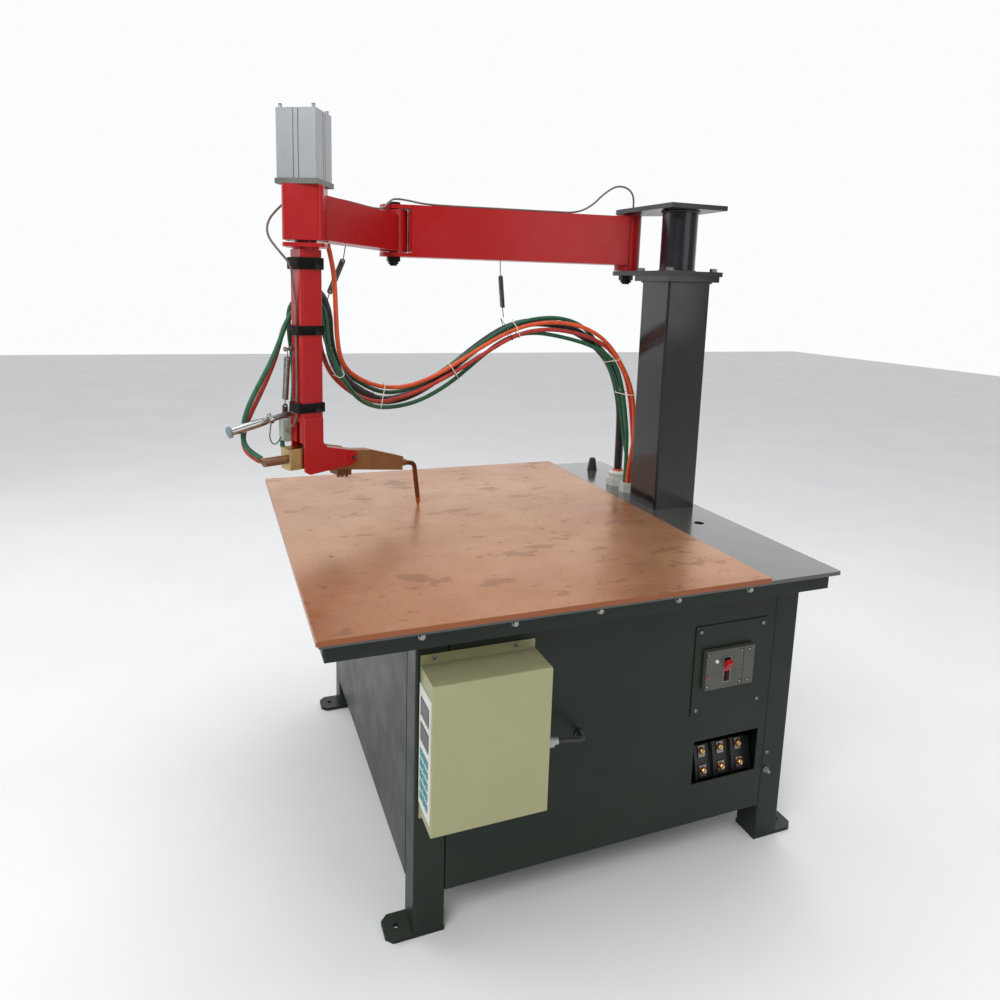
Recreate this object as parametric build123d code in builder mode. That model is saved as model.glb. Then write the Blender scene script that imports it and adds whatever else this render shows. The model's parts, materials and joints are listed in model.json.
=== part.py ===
"""Table spot welder: bench, column, two-part swing arm, air-driven tool with a rocking electrode.

The origin is on the floor at the centre of the four anchor holes in the feet.
+Z is up, +X is the operator's right and +Y points from the operator to the column.
Everything is in millimetres.
"""

import os
from math import atan2, cos, degrees, hypot, pi, radians, sin, tan

from build123d import *

# ---- bench ----
TABLE_Z = 800.0
COPPER_T = 12.0
STEEL_T = 10.0
RAIL_H = 40.0
RAIL_W = 25.0
COPPER_X = 623.0
COPPER_Y = (-736.0, 334.0)
STEEL_X = 613.0
STEEL_Y = (-730.0, 560.0)
RAIL_X = 594.0
RAIL_Y = (-717.0, 541.0)
BOLT_Z = 766.0
BODY_X = 530.0
BODY_Y = 516.0
LEG = 75.0
LEG_WALL = 4.0
FOOT_T = 10.0
FOOT_REACH = 60.0
ANCHOR_X = BODY_X - LEG / 2
ANCHOR_Y = BODY_Y + 30.0
ANCHOR_R = 7.0
PANEL_T = 3.0
PANEL_Z = 105.0
STEEL_Z = TABLE_Z - COPPER_T - STEEL_T
RAIL_Z = STEEL_Z - RAIL_H
DECK_Z = TABLE_Z - COPPER_T

# ---- column and bracket ----
COLUMN = (-44.6, 465.8)
COLUMN_SIDE = 150.0
COLUMN_TOP = 1498.0
FLANGE_SIDE = 184.0
FLANGE_T = 17.0
BRACKET_SIDE = 196.0
BRACKET_T = 14.0
BRACKET_LOW = COLUMN_TOP + FLANGE_T
PIPE_BOTTOM = BRACKET_LOW + BRACKET_T
PIPE_TOP = 1710.0
PIPE_R = 54.0
TONGUE_R = 44.0
PIVOT_R = 15.0

# ---- swing arms ----
REAR_PIVOT = (-224.0, 393.0)
MID_PIVOT = (-320.0, -367.0)
HEAD = (-43.0, -662.5)
RUNNING = 0.05
MAIN_W = 90.0
MAIN_Z = (1549.0, 1701.0)
MAIN_WALL = 5.0
CLEVIS_T = 12.0
CLEVIS_R = 42.0
FRONT_W = 76.0
FRONT_WALL = 4.0
MID_BARREL_R = 42.0
MID_BARREL_Z = (1563.5, 1686.5)
REAR_BARREL_R = 40.0
REAR_BARREL_Z = (1531.0, 1708.0)
BEARING_R = 26.0
BEARING_H = 16.0
MID_PIN_R = 14.0

# ---- head and cylinder ----
HEAD_YAW = -16.0
HEAD_SIDE = 104.0
HEAD_CORNER = 16.0
HEAD_Z = (1569.0, 1704.0)
HEAD_BORE_R = 42.0
CYLINDER_YAW = -30.3
CYLINDER_SIDE = 104.0
CYLINDER_PLATE = 112.0
CYLINDER_Z = (1717.0, 1883.0)
PISTON_R = 40.0
ROD_R = 10.0

# ---- tool ----
TOOL_YAW = degrees(atan2(0.9245, -0.3811))
TUBE = 60.0
TUBE_WALL = 5.0
TUBE_Z = (1046.0, 1547.0)
SPINDLE_R = 28.0
CHEEK_Y = (30.0, 38.0)
LEVER_PIVOT = (113.0, 993.0)
LEVER_BOLT_R = 8.0
TIP_X = 373.6
TIP_CLEAR = 0.4
ELECTRODE_R = 7.0


def direction_of(start, end):
    """Unit vector in plan from one point to another, and the distance."""
    length = hypot(end[0] - start[0], end[1] - start[1])
    return ((end[0] - start[0]) / length, (end[1] - start[1]) / length), length


MAIN_DIR, MAIN_L = direction_of(MID_PIVOT, REAR_PIVOT)
FRONT_DIR, FRONT_L = direction_of(MID_PIVOT, HEAD)
TOOL_DIR = (cos(radians(TOOL_YAW)), sin(radians(TOOL_YAW)))


def upright(origin, along):
    """Horizontal plane on the floor under a pivot, its x axis along an arm."""
    return Plane(origin=(origin[0], origin[1], 0), x_dir=(along[0], along[1], 0), z_dir=(0, 0, 1))


def side_on(frame):
    """Vertical plane through an arm: x runs along the arm and y runs up."""
    return Plane(origin=frame.origin, x_dir=frame.x_dir, z_dir=-frame.y_dir)


def yawed(origin, angle):
    """Horizontal plane on the floor under a point, turned by an angle in degrees."""
    return upright(origin, (cos(radians(angle)), sin(radians(angle))))


MAIN = upright(MID_PIVOT, MAIN_DIR)
FRONT = upright(MID_PIVOT, FRONT_DIR)
TOOL = upright(HEAD, TOOL_DIR)
HEAD_FRAME = yawed(HEAD, HEAD_YAW)
CYLINDER_FRAME = yawed(HEAD, CYLINDER_YAW)
TOOL_SIDE = side_on(TOOL)
FRONT_SIDE = side_on(FRONT)


def block(x, y, z, frame=Plane.XY, mode=Mode.ADD):
    """Box between two limits on each axis of a frame."""
    with Locations(frame.location * Location(((x[0] + x[1]) / 2, (y[0] + y[1]) / 2, (z[0] + z[1]) / 2))):
        Box(x[1] - x[0], y[1] - y[0], z[1] - z[0], mode=mode)


def post(x, y, z, r, frame=Plane.XY, mode=Mode.ADD):
    """Upright cylinder between two heights."""
    with Locations(frame.location * Location((x, y, (z[0] + z[1]) / 2))):
        Cylinder(r, z[1] - z[0], mode=mode)


def bar(start, end, r, mode=Mode.ADD):
    """Round bar from one point to another."""
    axis = Vector(*end) - Vector(*start)
    with Locations(Plane(origin=Vector(*start), z_dir=axis)):
        Cylinder(r, axis.length, align=(Align.CENTER, Align.CENTER, Align.MIN), mode=mode)


def in_tool(s, side, z):
    """World point from the tool's own distances along, across and up."""
    return tuple(TOOL.from_local_coords(Vector(s, side, z)))


def hexagon(x, y, z, across, frame=Plane.XY, mode=Mode.ADD):
    """Hexagonal head or nut, given its size across flats."""
    with BuildSketch(frame.offset(z[0])) as face:
        with Locations((x, y)):
            RegularPolygon(across / 2, 6, major_radius=False)
    extrude(to_extrude=face.sketch, amount=z[1] - z[0], mode=mode)


def prism(points, frame, half, mode=Mode.ADD):
    """Flat outline on a vertical frame, as thick as twice half, centred on the frame."""
    with BuildSketch(frame.offset(-half)) as face:
        with BuildLine():
            Polyline(*points, close=True)
        make_face()
    extrude(to_extrude=face.sketch, amount=2 * half, mode=mode)


def save(piece, name):
    piece.part.label = name
    export_step(piece.part, f"parts/{name}.step")


os.makedirs("parts", exist_ok=True)

# ---- feet, legs and cabinet ----
SIDES = (-1, 1)

ANGLE_T = 5.0
SHELF_T = 4.0
LEG_IN_X = BODY_X - LEG
LEG_IN_Y = BODY_Y - LEG

with BuildPart() as cabinet_frame:
    for sx in SIDES:
        for sy in SIDES:
            with BuildSketch() as face:
                with Locations((sx * ANCHOR_X, sy * (BODY_Y + (FOOT_REACH - LEG) / 2))):
                    Rectangle(LEG, LEG + FOOT_REACH)
                chamfer(face.vertices().sort_by(Axis((0, 0, 0), (0, sy, 0)))[-2:], 16)
                with Locations((sx * ANCHOR_X, sy * ANCHOR_Y)):
                    Circle(ANCHOR_R, mode=Mode.SUBTRACT)
            extrude(to_extrude=face.sketch, amount=FOOT_T)
    for sx in SIDES:
        for sy in SIDES:
            with BuildSketch(Plane.XY.offset(FOOT_T)) as face:
                with Locations((sx * ANCHOR_X, sy * (BODY_Y - LEG / 2))):
                    RectangleRounded(LEG, LEG, 6)
                    RectangleRounded(LEG - 2 * LEG_WALL, LEG - 2 * LEG_WALL, 2, mode=Mode.SUBTRACT)
            extrude(to_extrude=face.sketch, amount=RAIL_Z - FOOT_T)
    for sy in SIDES:
        outer, inner = sy * BODY_Y, sy * (BODY_Y - RAIL_H)
        flat = (min(outer, inner), max(outer, inner))
        web = (min(outer, outer - sy * ANGLE_T), max(outer, outer - sy * ANGLE_T))
        block((-BODY_X, BODY_X), flat, (STEEL_Z - ANGLE_T, STEEL_Z))
        block((-BODY_X, BODY_X), web, (RAIL_Z, STEEL_Z - ANGLE_T))
    for sx in SIDES:
        outer, inner = sx * BODY_X, sx * (BODY_X - RAIL_H)
        flat = (min(outer, inner), max(outer, inner))
        web = (min(outer, outer - sx * ANGLE_T), max(outer, outer - sx * ANGLE_T))
        span = (-BODY_Y + RAIL_H, BODY_Y - RAIL_H)
        block(flat, span, (STEEL_Z - ANGLE_T, STEEL_Z))
        block(web, (-BODY_Y + ANGLE_T, BODY_Y - ANGLE_T), (RAIL_Z, STEEL_Z - ANGLE_T))
    block((-BODY_X + PANEL_T, BODY_X - PANEL_T), (-LEG_IN_Y, LEG_IN_Y), (PANEL_Z, PANEL_Z + SHELF_T))
    block((-LEG_IN_X, LEG_IN_X), (-BODY_Y + PANEL_T, -LEG_IN_Y), (PANEL_Z, PANEL_Z + SHELF_T))
    block((-LEG_IN_X, LEG_IN_X), (LEG_IN_Y, BODY_Y - PANEL_T), (PANEL_Z, PANEL_Z + SHELF_T))
save(cabinet_frame, "cabinet_frame")

# Windows in the right-hand panel: supply isolator, mains terminals and the controller's cable.
ISOLATOR_WINDOW = ((225.0, 391.0), (440.0, 624.0))
TERMINAL_WINDOW = ((219.0, 420.0), (216.0, 337.0))
CABLE_HOLE = (-116.0, 429.0)
SCREW_R = 2.5
ACCESS_Y = (198.0, 418.0)
ACCESS_Z = (412.0, 652.0)
ACCESS_SCREWS = [(y, z) for y in (213.0, 403.0) for z in (427.0, 637.0)]
BREAKER_Y = (226.0, 338.4)
TRIP_UNIT_Y = (339.0, 372.0)
BREAKER_Z = (484.0, 588.0)

with BuildPart() as cabinet_panels:
    block((BODY_X - PANEL_T, BODY_X), (-LEG_IN_Y, LEG_IN_Y), (PANEL_Z, RAIL_Z))
    for window in (ISOLATOR_WINDOW, TERMINAL_WINDOW):
        block((BODY_X - 2 * PANEL_T, BODY_X + PANEL_T), window[0], window[1], mode=Mode.SUBTRACT)
    bar((BODY_X - 10, *CABLE_HOLE), (BODY_X + 10, *CABLE_HOLE), 9, mode=Mode.SUBTRACT)
    block((-BODY_X, -BODY_X + PANEL_T), (-LEG_IN_Y, LEG_IN_Y), (PANEL_Z, RAIL_Z))
    for row in range(8):
        slot_z = 560.0 + 18 * row
        block((-BODY_X - 5, -BODY_X + 5), (-90, 90), (slot_z, slot_z + 6), mode=Mode.SUBTRACT)
    block((-LEG_IN_X, LEG_IN_X), (-BODY_Y, -BODY_Y + PANEL_T), (PANEL_Z, RAIL_Z))
    block((-LEG_IN_X, LEG_IN_X), (BODY_Y - PANEL_T, BODY_Y), (PANEL_Z, RAIL_Z))
save(cabinet_panels, "cabinet_panels")

# ---- table ----
GLAND = (-284.0, 441.0)
GLAND_R = 25.0
SMALL_GLAND = (-193.0, 427.0)
SMALL_GLAND_R = 20.0
SPARE_HOLE = (180.0, 450.0)
SPARE_HOLE_R = 15.0
BOOT = (-495.0, 455.0)
BUSBAR_X = (-50.0, 50.0)
BUSBAR_Y = (-66.0, -54.0)

with BuildPart() as table_rails:
    for sx in SIDES:
        edges = sorted((sx * RAIL_X, sx * (RAIL_X - RAIL_W)))
        block(edges, RAIL_Y, (RAIL_Z, STEEL_Z))
        core = (edges[0] + 3, edges[1] - 3)
        block(core, RAIL_Y, (RAIL_Z + 3, STEEL_Z - 3), mode=Mode.SUBTRACT)
        for step in range(5):
            bolt_y = -522.0 + 204.0 * step
            bar((edges[0] - 1, bolt_y, BOLT_Z), (edges[1] + 1, bolt_y, BOLT_Z), 4, mode=Mode.SUBTRACT)
    for low in (RAIL_Y[0], RAIL_Y[1] - RAIL_W):
        block((-RAIL_X + RAIL_W, RAIL_X - RAIL_W), (low, low + RAIL_W), (RAIL_Z, STEEL_Z))
        span = (low + 3, low + RAIL_W - 3)
        block((-RAIL_X + RAIL_W, RAIL_X - RAIL_W), span, (RAIL_Z + 3, STEEL_Z - 3), mode=Mode.SUBTRACT)
save(table_rails, "table_rails")

with BuildPart() as rail_bolts:
    for sx in SIDES:
        for step in range(5):
            bolt_y = -522.0 + 204.0 * step
            outside = sx * RAIL_X
            bar((outside, bolt_y, BOLT_Z), (outside + sx * 2, bolt_y, BOLT_Z), 8.5)
            bar((outside + sx * 2, bolt_y, BOLT_Z), (outside + sx * 8, bolt_y, BOLT_Z), 6.5)
            bar((outside, bolt_y, BOLT_Z), (outside - sx * RAIL_W, bolt_y, BOLT_Z), 4)
save(rail_bolts, "rail_bolts")

with BuildPart() as steel_top_plate:
    block((-STEEL_X, STEEL_X), STEEL_Y, (STEEL_Z, DECK_Z))
    fillet(steel_top_plate.edges().filter_by(Axis.Z), 4)
    for spot, r in ((GLAND, GLAND_R), (SMALL_GLAND, SMALL_GLAND_R), (SPARE_HOLE, SPARE_HOLE_R)):
        post(*spot, (STEEL_Z - 1, DECK_Z + 1), r, mode=Mode.SUBTRACT)
    slot_x, slot_y = (BUSBAR_X[0] - 6, BUSBAR_X[1] + 6), (BUSBAR_Y[0] - 6, BUSBAR_Y[1] + 6)
    block(slot_x, slot_y, (STEEL_Z - 1, DECK_Z + 1), mode=Mode.SUBTRACT)
save(steel_top_plate, "steel_top_plate")

with BuildPart() as copper_table_plate:
    block((-COPPER_X, COPPER_X), COPPER_Y, (DECK_Z, TABLE_Z))
    fillet(copper_table_plate.edges().filter_by(Axis.Z), 3)
    chamfer(copper_table_plate.faces().sort_by(Axis.Z)[-1].edges(), 0.8)
save(copper_table_plate, "copper_table_plate")

# ---- column and bracket ----
def bracket_outline(z):
    """Square over the column, drawn out to a round tongue under the rear pivot."""
    with BuildSketch(Plane.XY.offset(z)) as face:
        with Locations(COLUMN):
            Rectangle(BRACKET_SIDE, BRACKET_SIDE)
        with Locations(REAR_PIVOT):
            Circle(TONGUE_R)
        make_hull()
        with Locations(REAR_PIVOT):
            Circle(PIVOT_R, mode=Mode.SUBTRACT)
    return face.sketch


BOLT_OFFSET = 78.0
BRACKET_BOLTS = [(COLUMN[0] + sx * BOLT_OFFSET, COLUMN[1] + sy * BOLT_OFFSET) for sx in SIDES for sy in SIDES]

with BuildPart() as column:
    with BuildSketch(Plane.XY.offset(DECK_Z)) as face:
        with Locations(COLUMN):
            RectangleRounded(COLUMN_SIDE, COLUMN_SIDE, 8)
            RectangleRounded(COLUMN_SIDE - 12, COLUMN_SIDE - 12, 4, mode=Mode.SUBTRACT)
    extrude(to_extrude=face.sketch, amount=COLUMN_TOP - DECK_Z)
    with BuildSketch(Plane.XY.offset(COLUMN_TOP)) as face:
        with Locations(COLUMN):
            Rectangle(FLANGE_SIDE, FLANGE_SIDE)
        with Locations(*BRACKET_BOLTS):
            Circle(6, mode=Mode.SUBTRACT)
    extrude(to_extrude=face.sketch, amount=FLANGE_T)
save(column, "column")

with BuildPart() as arm_bracket:
    extrude(to_extrude=bracket_outline(BRACKET_LOW), amount=BRACKET_T)
    for spot in BRACKET_BOLTS:
        post(*spot, (BRACKET_LOW - 1, PIPE_BOTTOM + 1), 6, mode=Mode.SUBTRACT)
    post(*COLUMN, (PIPE_BOTTOM, PIPE_TOP), PIPE_R)
    post(*COLUMN, (PIPE_BOTTOM, PIPE_TOP), PIPE_R - 6, mode=Mode.SUBTRACT)
    extrude(to_extrude=bracket_outline(PIPE_TOP), amount=BRACKET_T)
save(arm_bracket, "arm_bracket")

with BuildPart() as bracket_bolts:
    for spot in BRACKET_BOLTS:
        post(*spot, (COLUMN_TOP + 2, PIPE_BOTTOM), 6)
        post(*spot, (PIPE_BOTTOM, PIPE_BOTTOM + 2), 12)
        hexagon(*spot, (PIPE_BOTTOM + 2, PIPE_BOTTOM + 10), 19)
save(bracket_bolts, "bracket_bolts")


def castle_nut(x, y, top, across, bolt_r, collar_r):
    """Hexagon nut with a slotted collar below, the bolt end and a split pin."""
    hexagon(x, y, (top - 14, top - 0.3), across)
    post(x, y, (top - 22, top - 14), collar_r)
    post(x, y, (top - 27, top - 14), bolt_r)
    bar((x - collar_r - 6, y, top - 19), (x + collar_r + 6, y, top - 19), 1.6)


with BuildPart() as rear_pivot_bolt:
    post(*REAR_PIVOT, (BRACKET_LOW - 20, PIPE_TOP + BRACKET_T - 0.5), PIVOT_R)
    castle_nut(*REAR_PIVOT, BRACKET_LOW, 40, PIVOT_R - 3, 18)
save(rear_pivot_bolt, "rear_pivot_bolt")

# ---- cable outlets on the deck ----
GLAND_TOP = DECK_Z + 51.0
with BuildPart() as cable_glands:
    post(*GLAND, (STEEL_Z - 14, DECK_Z), GLAND_R)
    hexagon(*GLAND, (DECK_Z, DECK_Z + 26), 66)
    post(*GLAND, (DECK_Z + 26, DECK_Z + 30), 30)
    hexagon(*GLAND, (DECK_Z + 30, DECK_Z + 44), 58)
    with Locations((*GLAND, DECK_Z + 44)):
        Cone(28, 20, GLAND_TOP - DECK_Z - 44, align=(Align.CENTER, Align.CENTER, Align.MIN))
    post(*GLAND, (STEEL_Z - 14, GLAND_TOP), 14.2, mode=Mode.SUBTRACT)
    post(*SMALL_GLAND, (STEEL_Z - 10, DECK_Z), SMALL_GLAND_R)
    hexagon(*SMALL_GLAND, (DECK_Z, DECK_Z + 16), 48)
    hexagon(*SMALL_GLAND, (DECK_Z + 16, DECK_Z + 32), 43)
    post(*SMALL_GLAND, (STEEL_Z - 10, DECK_Z + 32), 17, mode=Mode.SUBTRACT)
save(cable_glands, "cable_glands")

with BuildPart() as rubber_grommets:
    with Locations((*BOOT, DECK_Z)):
        Cone(19, 12, 44, align=(Align.CENTER, Align.CENTER, Align.MIN))
    post(*BOOT, (DECK_Z + 44, DECK_Z + 48), 9)
    fillet(rubber_grommets.edges().sort_by(Axis.Z)[-1], 1.5)
    bar((BODY_X, *CABLE_HOLE), (BODY_X + 4, *CABLE_HOLE), 12)
    bar((BODY_X - 8, *CABLE_HOLE), (BODY_X, *CABLE_HOLE), 9)
    bar((BODY_X - 9, *CABLE_HOLE), (BODY_X + 5, *CABLE_HOLE), 7.5, mode=Mode.SUBTRACT)
save(rubber_grommets, "rubber_grommets")

# ---- welding controller on the right-hand panel ----
BOX_X = (BODY_X + 2.0, 628.0)
BOX_Y = (-506.0, -240.0)
BOX_Z = (326.0, 668.0)
BACK_Z = (304.0, 690.0)
CONTROLLER_SCREWS = [(y, z) for y in (-476.0, -286.0) for z in (BACK_Z[0] + 9, BACK_Z[1] - 9)]

with BuildPart() as controller_case:
    block((BODY_X, BODY_X + 2), BOX_Y, BACK_Z)
    for y, z in CONTROLLER_SCREWS:
        bar((BODY_X - 1, y, z), (BODY_X + 3, y, z), SCREW_R, mode=Mode.SUBTRACT)
    block(BOX_X, BOX_Y, BOX_Z)
    fillet(controller_case.edges().filter_by(Axis.Y).sort_by(Axis.X)[-2:], 5)
    inside_x, inside_y = (BOX_X[0], BOX_X[1] - 2), (BOX_Y[0] + 2, BOX_Y[1] - 2)
    block(inside_x, inside_y, (BOX_Z[0] + 2, BOX_Z[1] - 2), mode=Mode.SUBTRACT)
    front_x, front_z = (BOX_X[0] + 8, BOX_X[1] - 12), (BOX_Z[0] + 30, BOX_Z[1] - 40)
    block(front_x, (BOX_Y[0] - 1, BOX_Y[0] + 3), front_z, mode=Mode.SUBTRACT)
    bar((597, BOX_Y[1] - 4, 471), (597, BOX_Y[1] + 4, 471), 11, mode=Mode.SUBTRACT)
save(controller_case, "controller_case")

with BuildPart() as controller_keypad:
    block((BOX_X[0] + 8, BOX_X[1] - 12), (BOX_Y[0] - 1.5, BOX_Y[0] + 1), (BOX_Z[0] + 30, BOX_Z[1] - 40))
    block((BOX_X[0] + 4, BOX_X[1] - 8), (BOX_Y[0] - 2.5, BOX_Y[0]), (BOX_Z[0] + 26, BOX_Z[1] - 36))
save(controller_keypad, "controller_keypad")

with BuildPart() as controller_board:
    block((BOX_X[0] + 20, BOX_X[0] + 22), (BOX_Y[0] + 20, BOX_Y[1] - 20), (BOX_Z[0] + 20, BOX_Z[1] - 20))
    for corner_y in (BOX_Y[0] + 30, BOX_Y[1] - 30):
        for corner_z in (BOX_Z[0] + 30, BOX_Z[1] - 30):
            bar((BOX_X[0], corner_y, corner_z), (BOX_X[0] + 20, corner_y, corner_z), 4)
save(controller_board, "controller_board")

with BuildPart() as controller_connector:
    bar((597, BOX_Y[1] - 12, 471), (597, BOX_Y[1], 471), 11)
    bar((597, BOX_Y[1], 471), (597, BOX_Y[1] + 4, 471), 16)
    bar((597, BOX_Y[1] + 4, 471), (597, BOX_Y[1] + 22, 471), 12)
    bar((597, BOX_Y[1] + 22, 471), (597, BOX_Y[1] + 34, 471), 8)
save(controller_connector, "controller_connector")

with BuildPart() as panel_screws:
    for y, z in CONTROLLER_SCREWS:
        bar((BODY_X, y, z), (BODY_X + 2, y, z), SCREW_R)
        bar((BODY_X + 2, y, z), (BODY_X + 4.5, y, z), 5)
    for y, z in ACCESS_SCREWS:
        bar((BODY_X, y, z), (BODY_X + 3, y, z), SCREW_R)
        bar((BODY_X + 3, y, z), (BODY_X + 5.5, y, z), 5)
    bar((BODY_X, 458, 259), (BODY_X + 2.5, 458, 259), 5)
    bar((BODY_X, 460, 207), (BODY_X + 3, 460, 207), 9)
    bar((BODY_X + 3, 460, 207), (BODY_X + 14, 460, 207), 4)
save(panel_screws, "panel_screws")

# ---- supply isolator and mains terminals ----
with BuildPart() as access_plate:
    block((BODY_X, BODY_X + 3), ACCESS_Y, ACCESS_Z)
    window_y = (BREAKER_Y[0] - 1, TRIP_UNIT_Y[1] + 1)
    block((BODY_X - 1, BODY_X + 4), window_y, (BREAKER_Z[0] - 1, BREAKER_Z[1] + 1), mode=Mode.SUBTRACT)
    for y, z in ACCESS_SCREWS:
        bar((BODY_X - 1, y, z), (BODY_X + 4, y, z), SCREW_R, mode=Mode.SUBTRACT)
save(access_plate, "access_plate")

BREAKER_FACE = 545.0
TOGGLE_AXIS = (538.0, 534.0)
TOGGLE_Y = (281.0, 297.0)
with BuildPart() as breaker:
    block((470, BREAKER_FACE), BREAKER_Y, BREAKER_Z)
    block((525, BREAKER_FACE + 1), (TOGGLE_Y[0] - 1, TOGGLE_Y[1] + 1), (502, 566), mode=Mode.SUBTRACT)
    bar((530, 256, 560), (BREAKER_FACE + 1, 256, 560), 4.7, mode=Mode.SUBTRACT)
    block((470, BREAKER_FACE), TRIP_UNIT_Y, BREAKER_Z)
    block((462, 470), (205, LEG_IN_Y), (520, 546))
    block((470, BODY_X - PANEL_T), (205, 213), (520, 546))
save(breaker, "breaker")

with BuildPart() as breaker_toggle:
    bar((TOGGLE_AXIS[0], TOGGLE_Y[0], TOGGLE_AXIS[1]), (TOGGLE_AXIS[0], TOGGLE_Y[1], TOGGLE_AXIS[1]), 8)
    with BuildSketch(Plane(origin=(0, TOGGLE_Y[1], 0), x_dir=(1, 0, 0), z_dir=(0, -1, 0))) as face:
        with BuildLine():
            Polyline((533, 539), (551, 562), (560, 556), (545, 533), close=True)
        make_face()
    extrude(to_extrude=face.sketch, amount=TOGGLE_Y[1] - TOGGLE_Y[0])
save(breaker_toggle, "breaker_toggle")

with BuildPart() as breaker_test_button:
    bar((538, 256, 560), (BREAKER_FACE + 3, 256, 560), 4.5)
save(breaker_test_button, "breaker_test_button")


def lying_prism(points, y):
    """Outline in X and Z, drawn out along Y."""
    with BuildSketch(Plane(origin=(0, y[1], 0), x_dir=(1, 0, 0), z_dir=(0, -1, 0))) as face:
        with BuildLine():
            Polyline(*points, close=True)
        make_face()
    extrude(to_extrude=face.sketch, amount=y[1] - y[0])


with BuildPart() as terminal_block:
    lying_prism([(464, 200), (506, 206), (484, 290), (442, 284)], (246, 420))
    for fin_y in (246, 303, 361, 418):
        lying_prism([(505, 206), (517, 209), (495, 293), (483, 290)], (fin_y, fin_y + 2))
    for screw_y in (275.0, 333.0, 391.0):
        bar((499, screw_y, 227), (508.1, screw_y, 229.3), 6)
        bar((487, screw_y, 275.5), (495.5, screw_y, 277.7), 6)
    lying_prism([(464, 200), (442, 284), (438, 283), (460, 199)], (246, LEG_IN_Y))
save(terminal_block, "terminal_block")

# ---- transformer and water circuit inside the cabinet ----
CORE_X = (-170.0, 170.0)
CORE_Y = (-250.0, -90.0)
CORE_Z = (PANEL_Z + SHELF_T, 430.0)
with BuildPart() as transformer_core:
    block(CORE_X, CORE_Y, CORE_Z)
    for side in SIDES:
        window_x = sorted((side * 38.0, side * 116.0))
        block(window_x, (CORE_Y[0] - 1, CORE_Y[1] + 1), (CORE_Z[0] + 54, CORE_Z[1] - 54), mode=Mode.SUBTRACT)
save(transformer_core, "transformer_core")

with BuildPart() as transformer_windings:
    block((-100, 100), (CORE_Y[0] - 40, CORE_Y[1] + 20), (CORE_Z[0] + 60, CORE_Z[1] - 60))
    fillet(transformer_windings.edges().filter_by(Axis.Z), 18)
    block((-39, 39), (CORE_Y[0] - 0.5, CORE_Y[1] + 0.5), (CORE_Z[0], CORE_Z[1]), mode=Mode.SUBTRACT)
save(transformer_windings, "transformer_windings")

with BuildPart() as table_busbar:
    block(BUSBAR_X, BUSBAR_Y, (250, DECK_Z))
    block(BUSBAR_X, (BUSBAR_Y[0] - 4, BUSBAR_Y[0]), (300, 360))
save(table_busbar, "table_busbar")

with BuildPart() as thyristor_module:
    block((-BODY_X + PANEL_T, -BODY_X + PANEL_T + 12), (-320, -120), (330, 540))
    for fin in range(10):
        fin_y = -312.0 + 20 * fin
        block((-BODY_X + PANEL_T + 12, -BODY_X + PANEL_T + 50), (fin_y, fin_y + 4), (330, 540))
save(thyristor_module, "thyristor_module")

with BuildPart() as water_manifold:
    block((-320, -60), (470, 500), (560, 600))
    block((-330, -50), (500, BODY_Y - PANEL_T), (550, 610))
    for port in range(4):
        port_x = -290.0 + 65 * port
        bar((port_x, 485, 600), (port_x, 485, 630), 8)
        bar((port_x, 485, 630), (port_x, 485, 650), 5)
save(water_manifold, "water_manifold")

# ---- main arm ----
def rounded_beam_end(z, thickness, length, r):
    """Flat plate with one round end at the arm's pivot."""
    with BuildSketch(MAIN.offset(z)) as face:
        Circle(r)
        with Locations((length / 2, 0)):
            Rectangle(length, 2 * r)
    extrude(to_extrude=face.sketch, amount=thickness)


BOX_START = 50.0
with BuildPart() as main_arm:
    half = MAIN_W / 2
    block((BOX_START, MAIN_L - 15), (-half, half), MAIN_Z, MAIN)
    core_z = (MAIN_Z[0] + MAIN_WALL, MAIN_Z[1] - MAIN_WALL)
    block((BOX_START + 6, MAIN_L), (-half + MAIN_WALL, half - MAIN_WALL), core_z, MAIN, Mode.SUBTRACT)
    rounded_beam_end(MAIN_Z[0], CLEVIS_T, BOX_START + 2, CLEVIS_R)
    rounded_beam_end(MAIN_Z[1] - CLEVIS_T, CLEVIS_T, BOX_START + 2, CLEVIS_R)
    post(MAIN_L, 0, REAR_BARREL_Z, REAR_BARREL_R, MAIN)
    post(MAIN_L, 0, REAR_BARREL_Z, BEARING_R, MAIN, Mode.SUBTRACT)
    post(0, 0, MAIN_Z, MID_PIN_R, MAIN, Mode.SUBTRACT)
save(main_arm, "main_arm")


def bearing_pair(frame, x, z, bore, outside):
    for low in (z[0], z[1] - BEARING_H):
        post(x, 0, (low, low + BEARING_H), outside, frame)
        post(x, 0, (low, low + BEARING_H), bore, frame, Mode.SUBTRACT)


with BuildPart() as rear_bearings:
    bearing_pair(MAIN, MAIN_L, REAR_BARREL_Z, PIVOT_R + RUNNING, BEARING_R)
save(rear_bearings, "rear_bearings")

with BuildPart() as mid_pivot_bolt:
    post(*MID_PIVOT, (MAIN_Z[0] - 20, MAIN_Z[1] + 2), MID_PIN_R)
    hexagon(*MID_PIVOT, (MAIN_Z[1], MAIN_Z[1] + 9), 36)
    castle_nut(*MID_PIVOT, MAIN_Z[0], 38, MID_PIN_R - 3, 16)
save(mid_pivot_bolt, "mid_pivot_bolt")

# ---- front arm, head and cylinder ----
def front_profile(inset):
    return [
        (30, 1566 + inset),
        (FRONT_L + 10, 1573.5 + inset),
        (FRONT_L + 10, 1688 - inset),
        (30, 1669 - inset),
    ]


def rounded_square(frame, side, r, z, mode=Mode.ADD):
    with BuildSketch(frame.offset(z[0])) as face:
        RectangleRounded(side, side, r)
    extrude(to_extrude=face.sketch, amount=z[1] - z[0], mode=mode)


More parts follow.
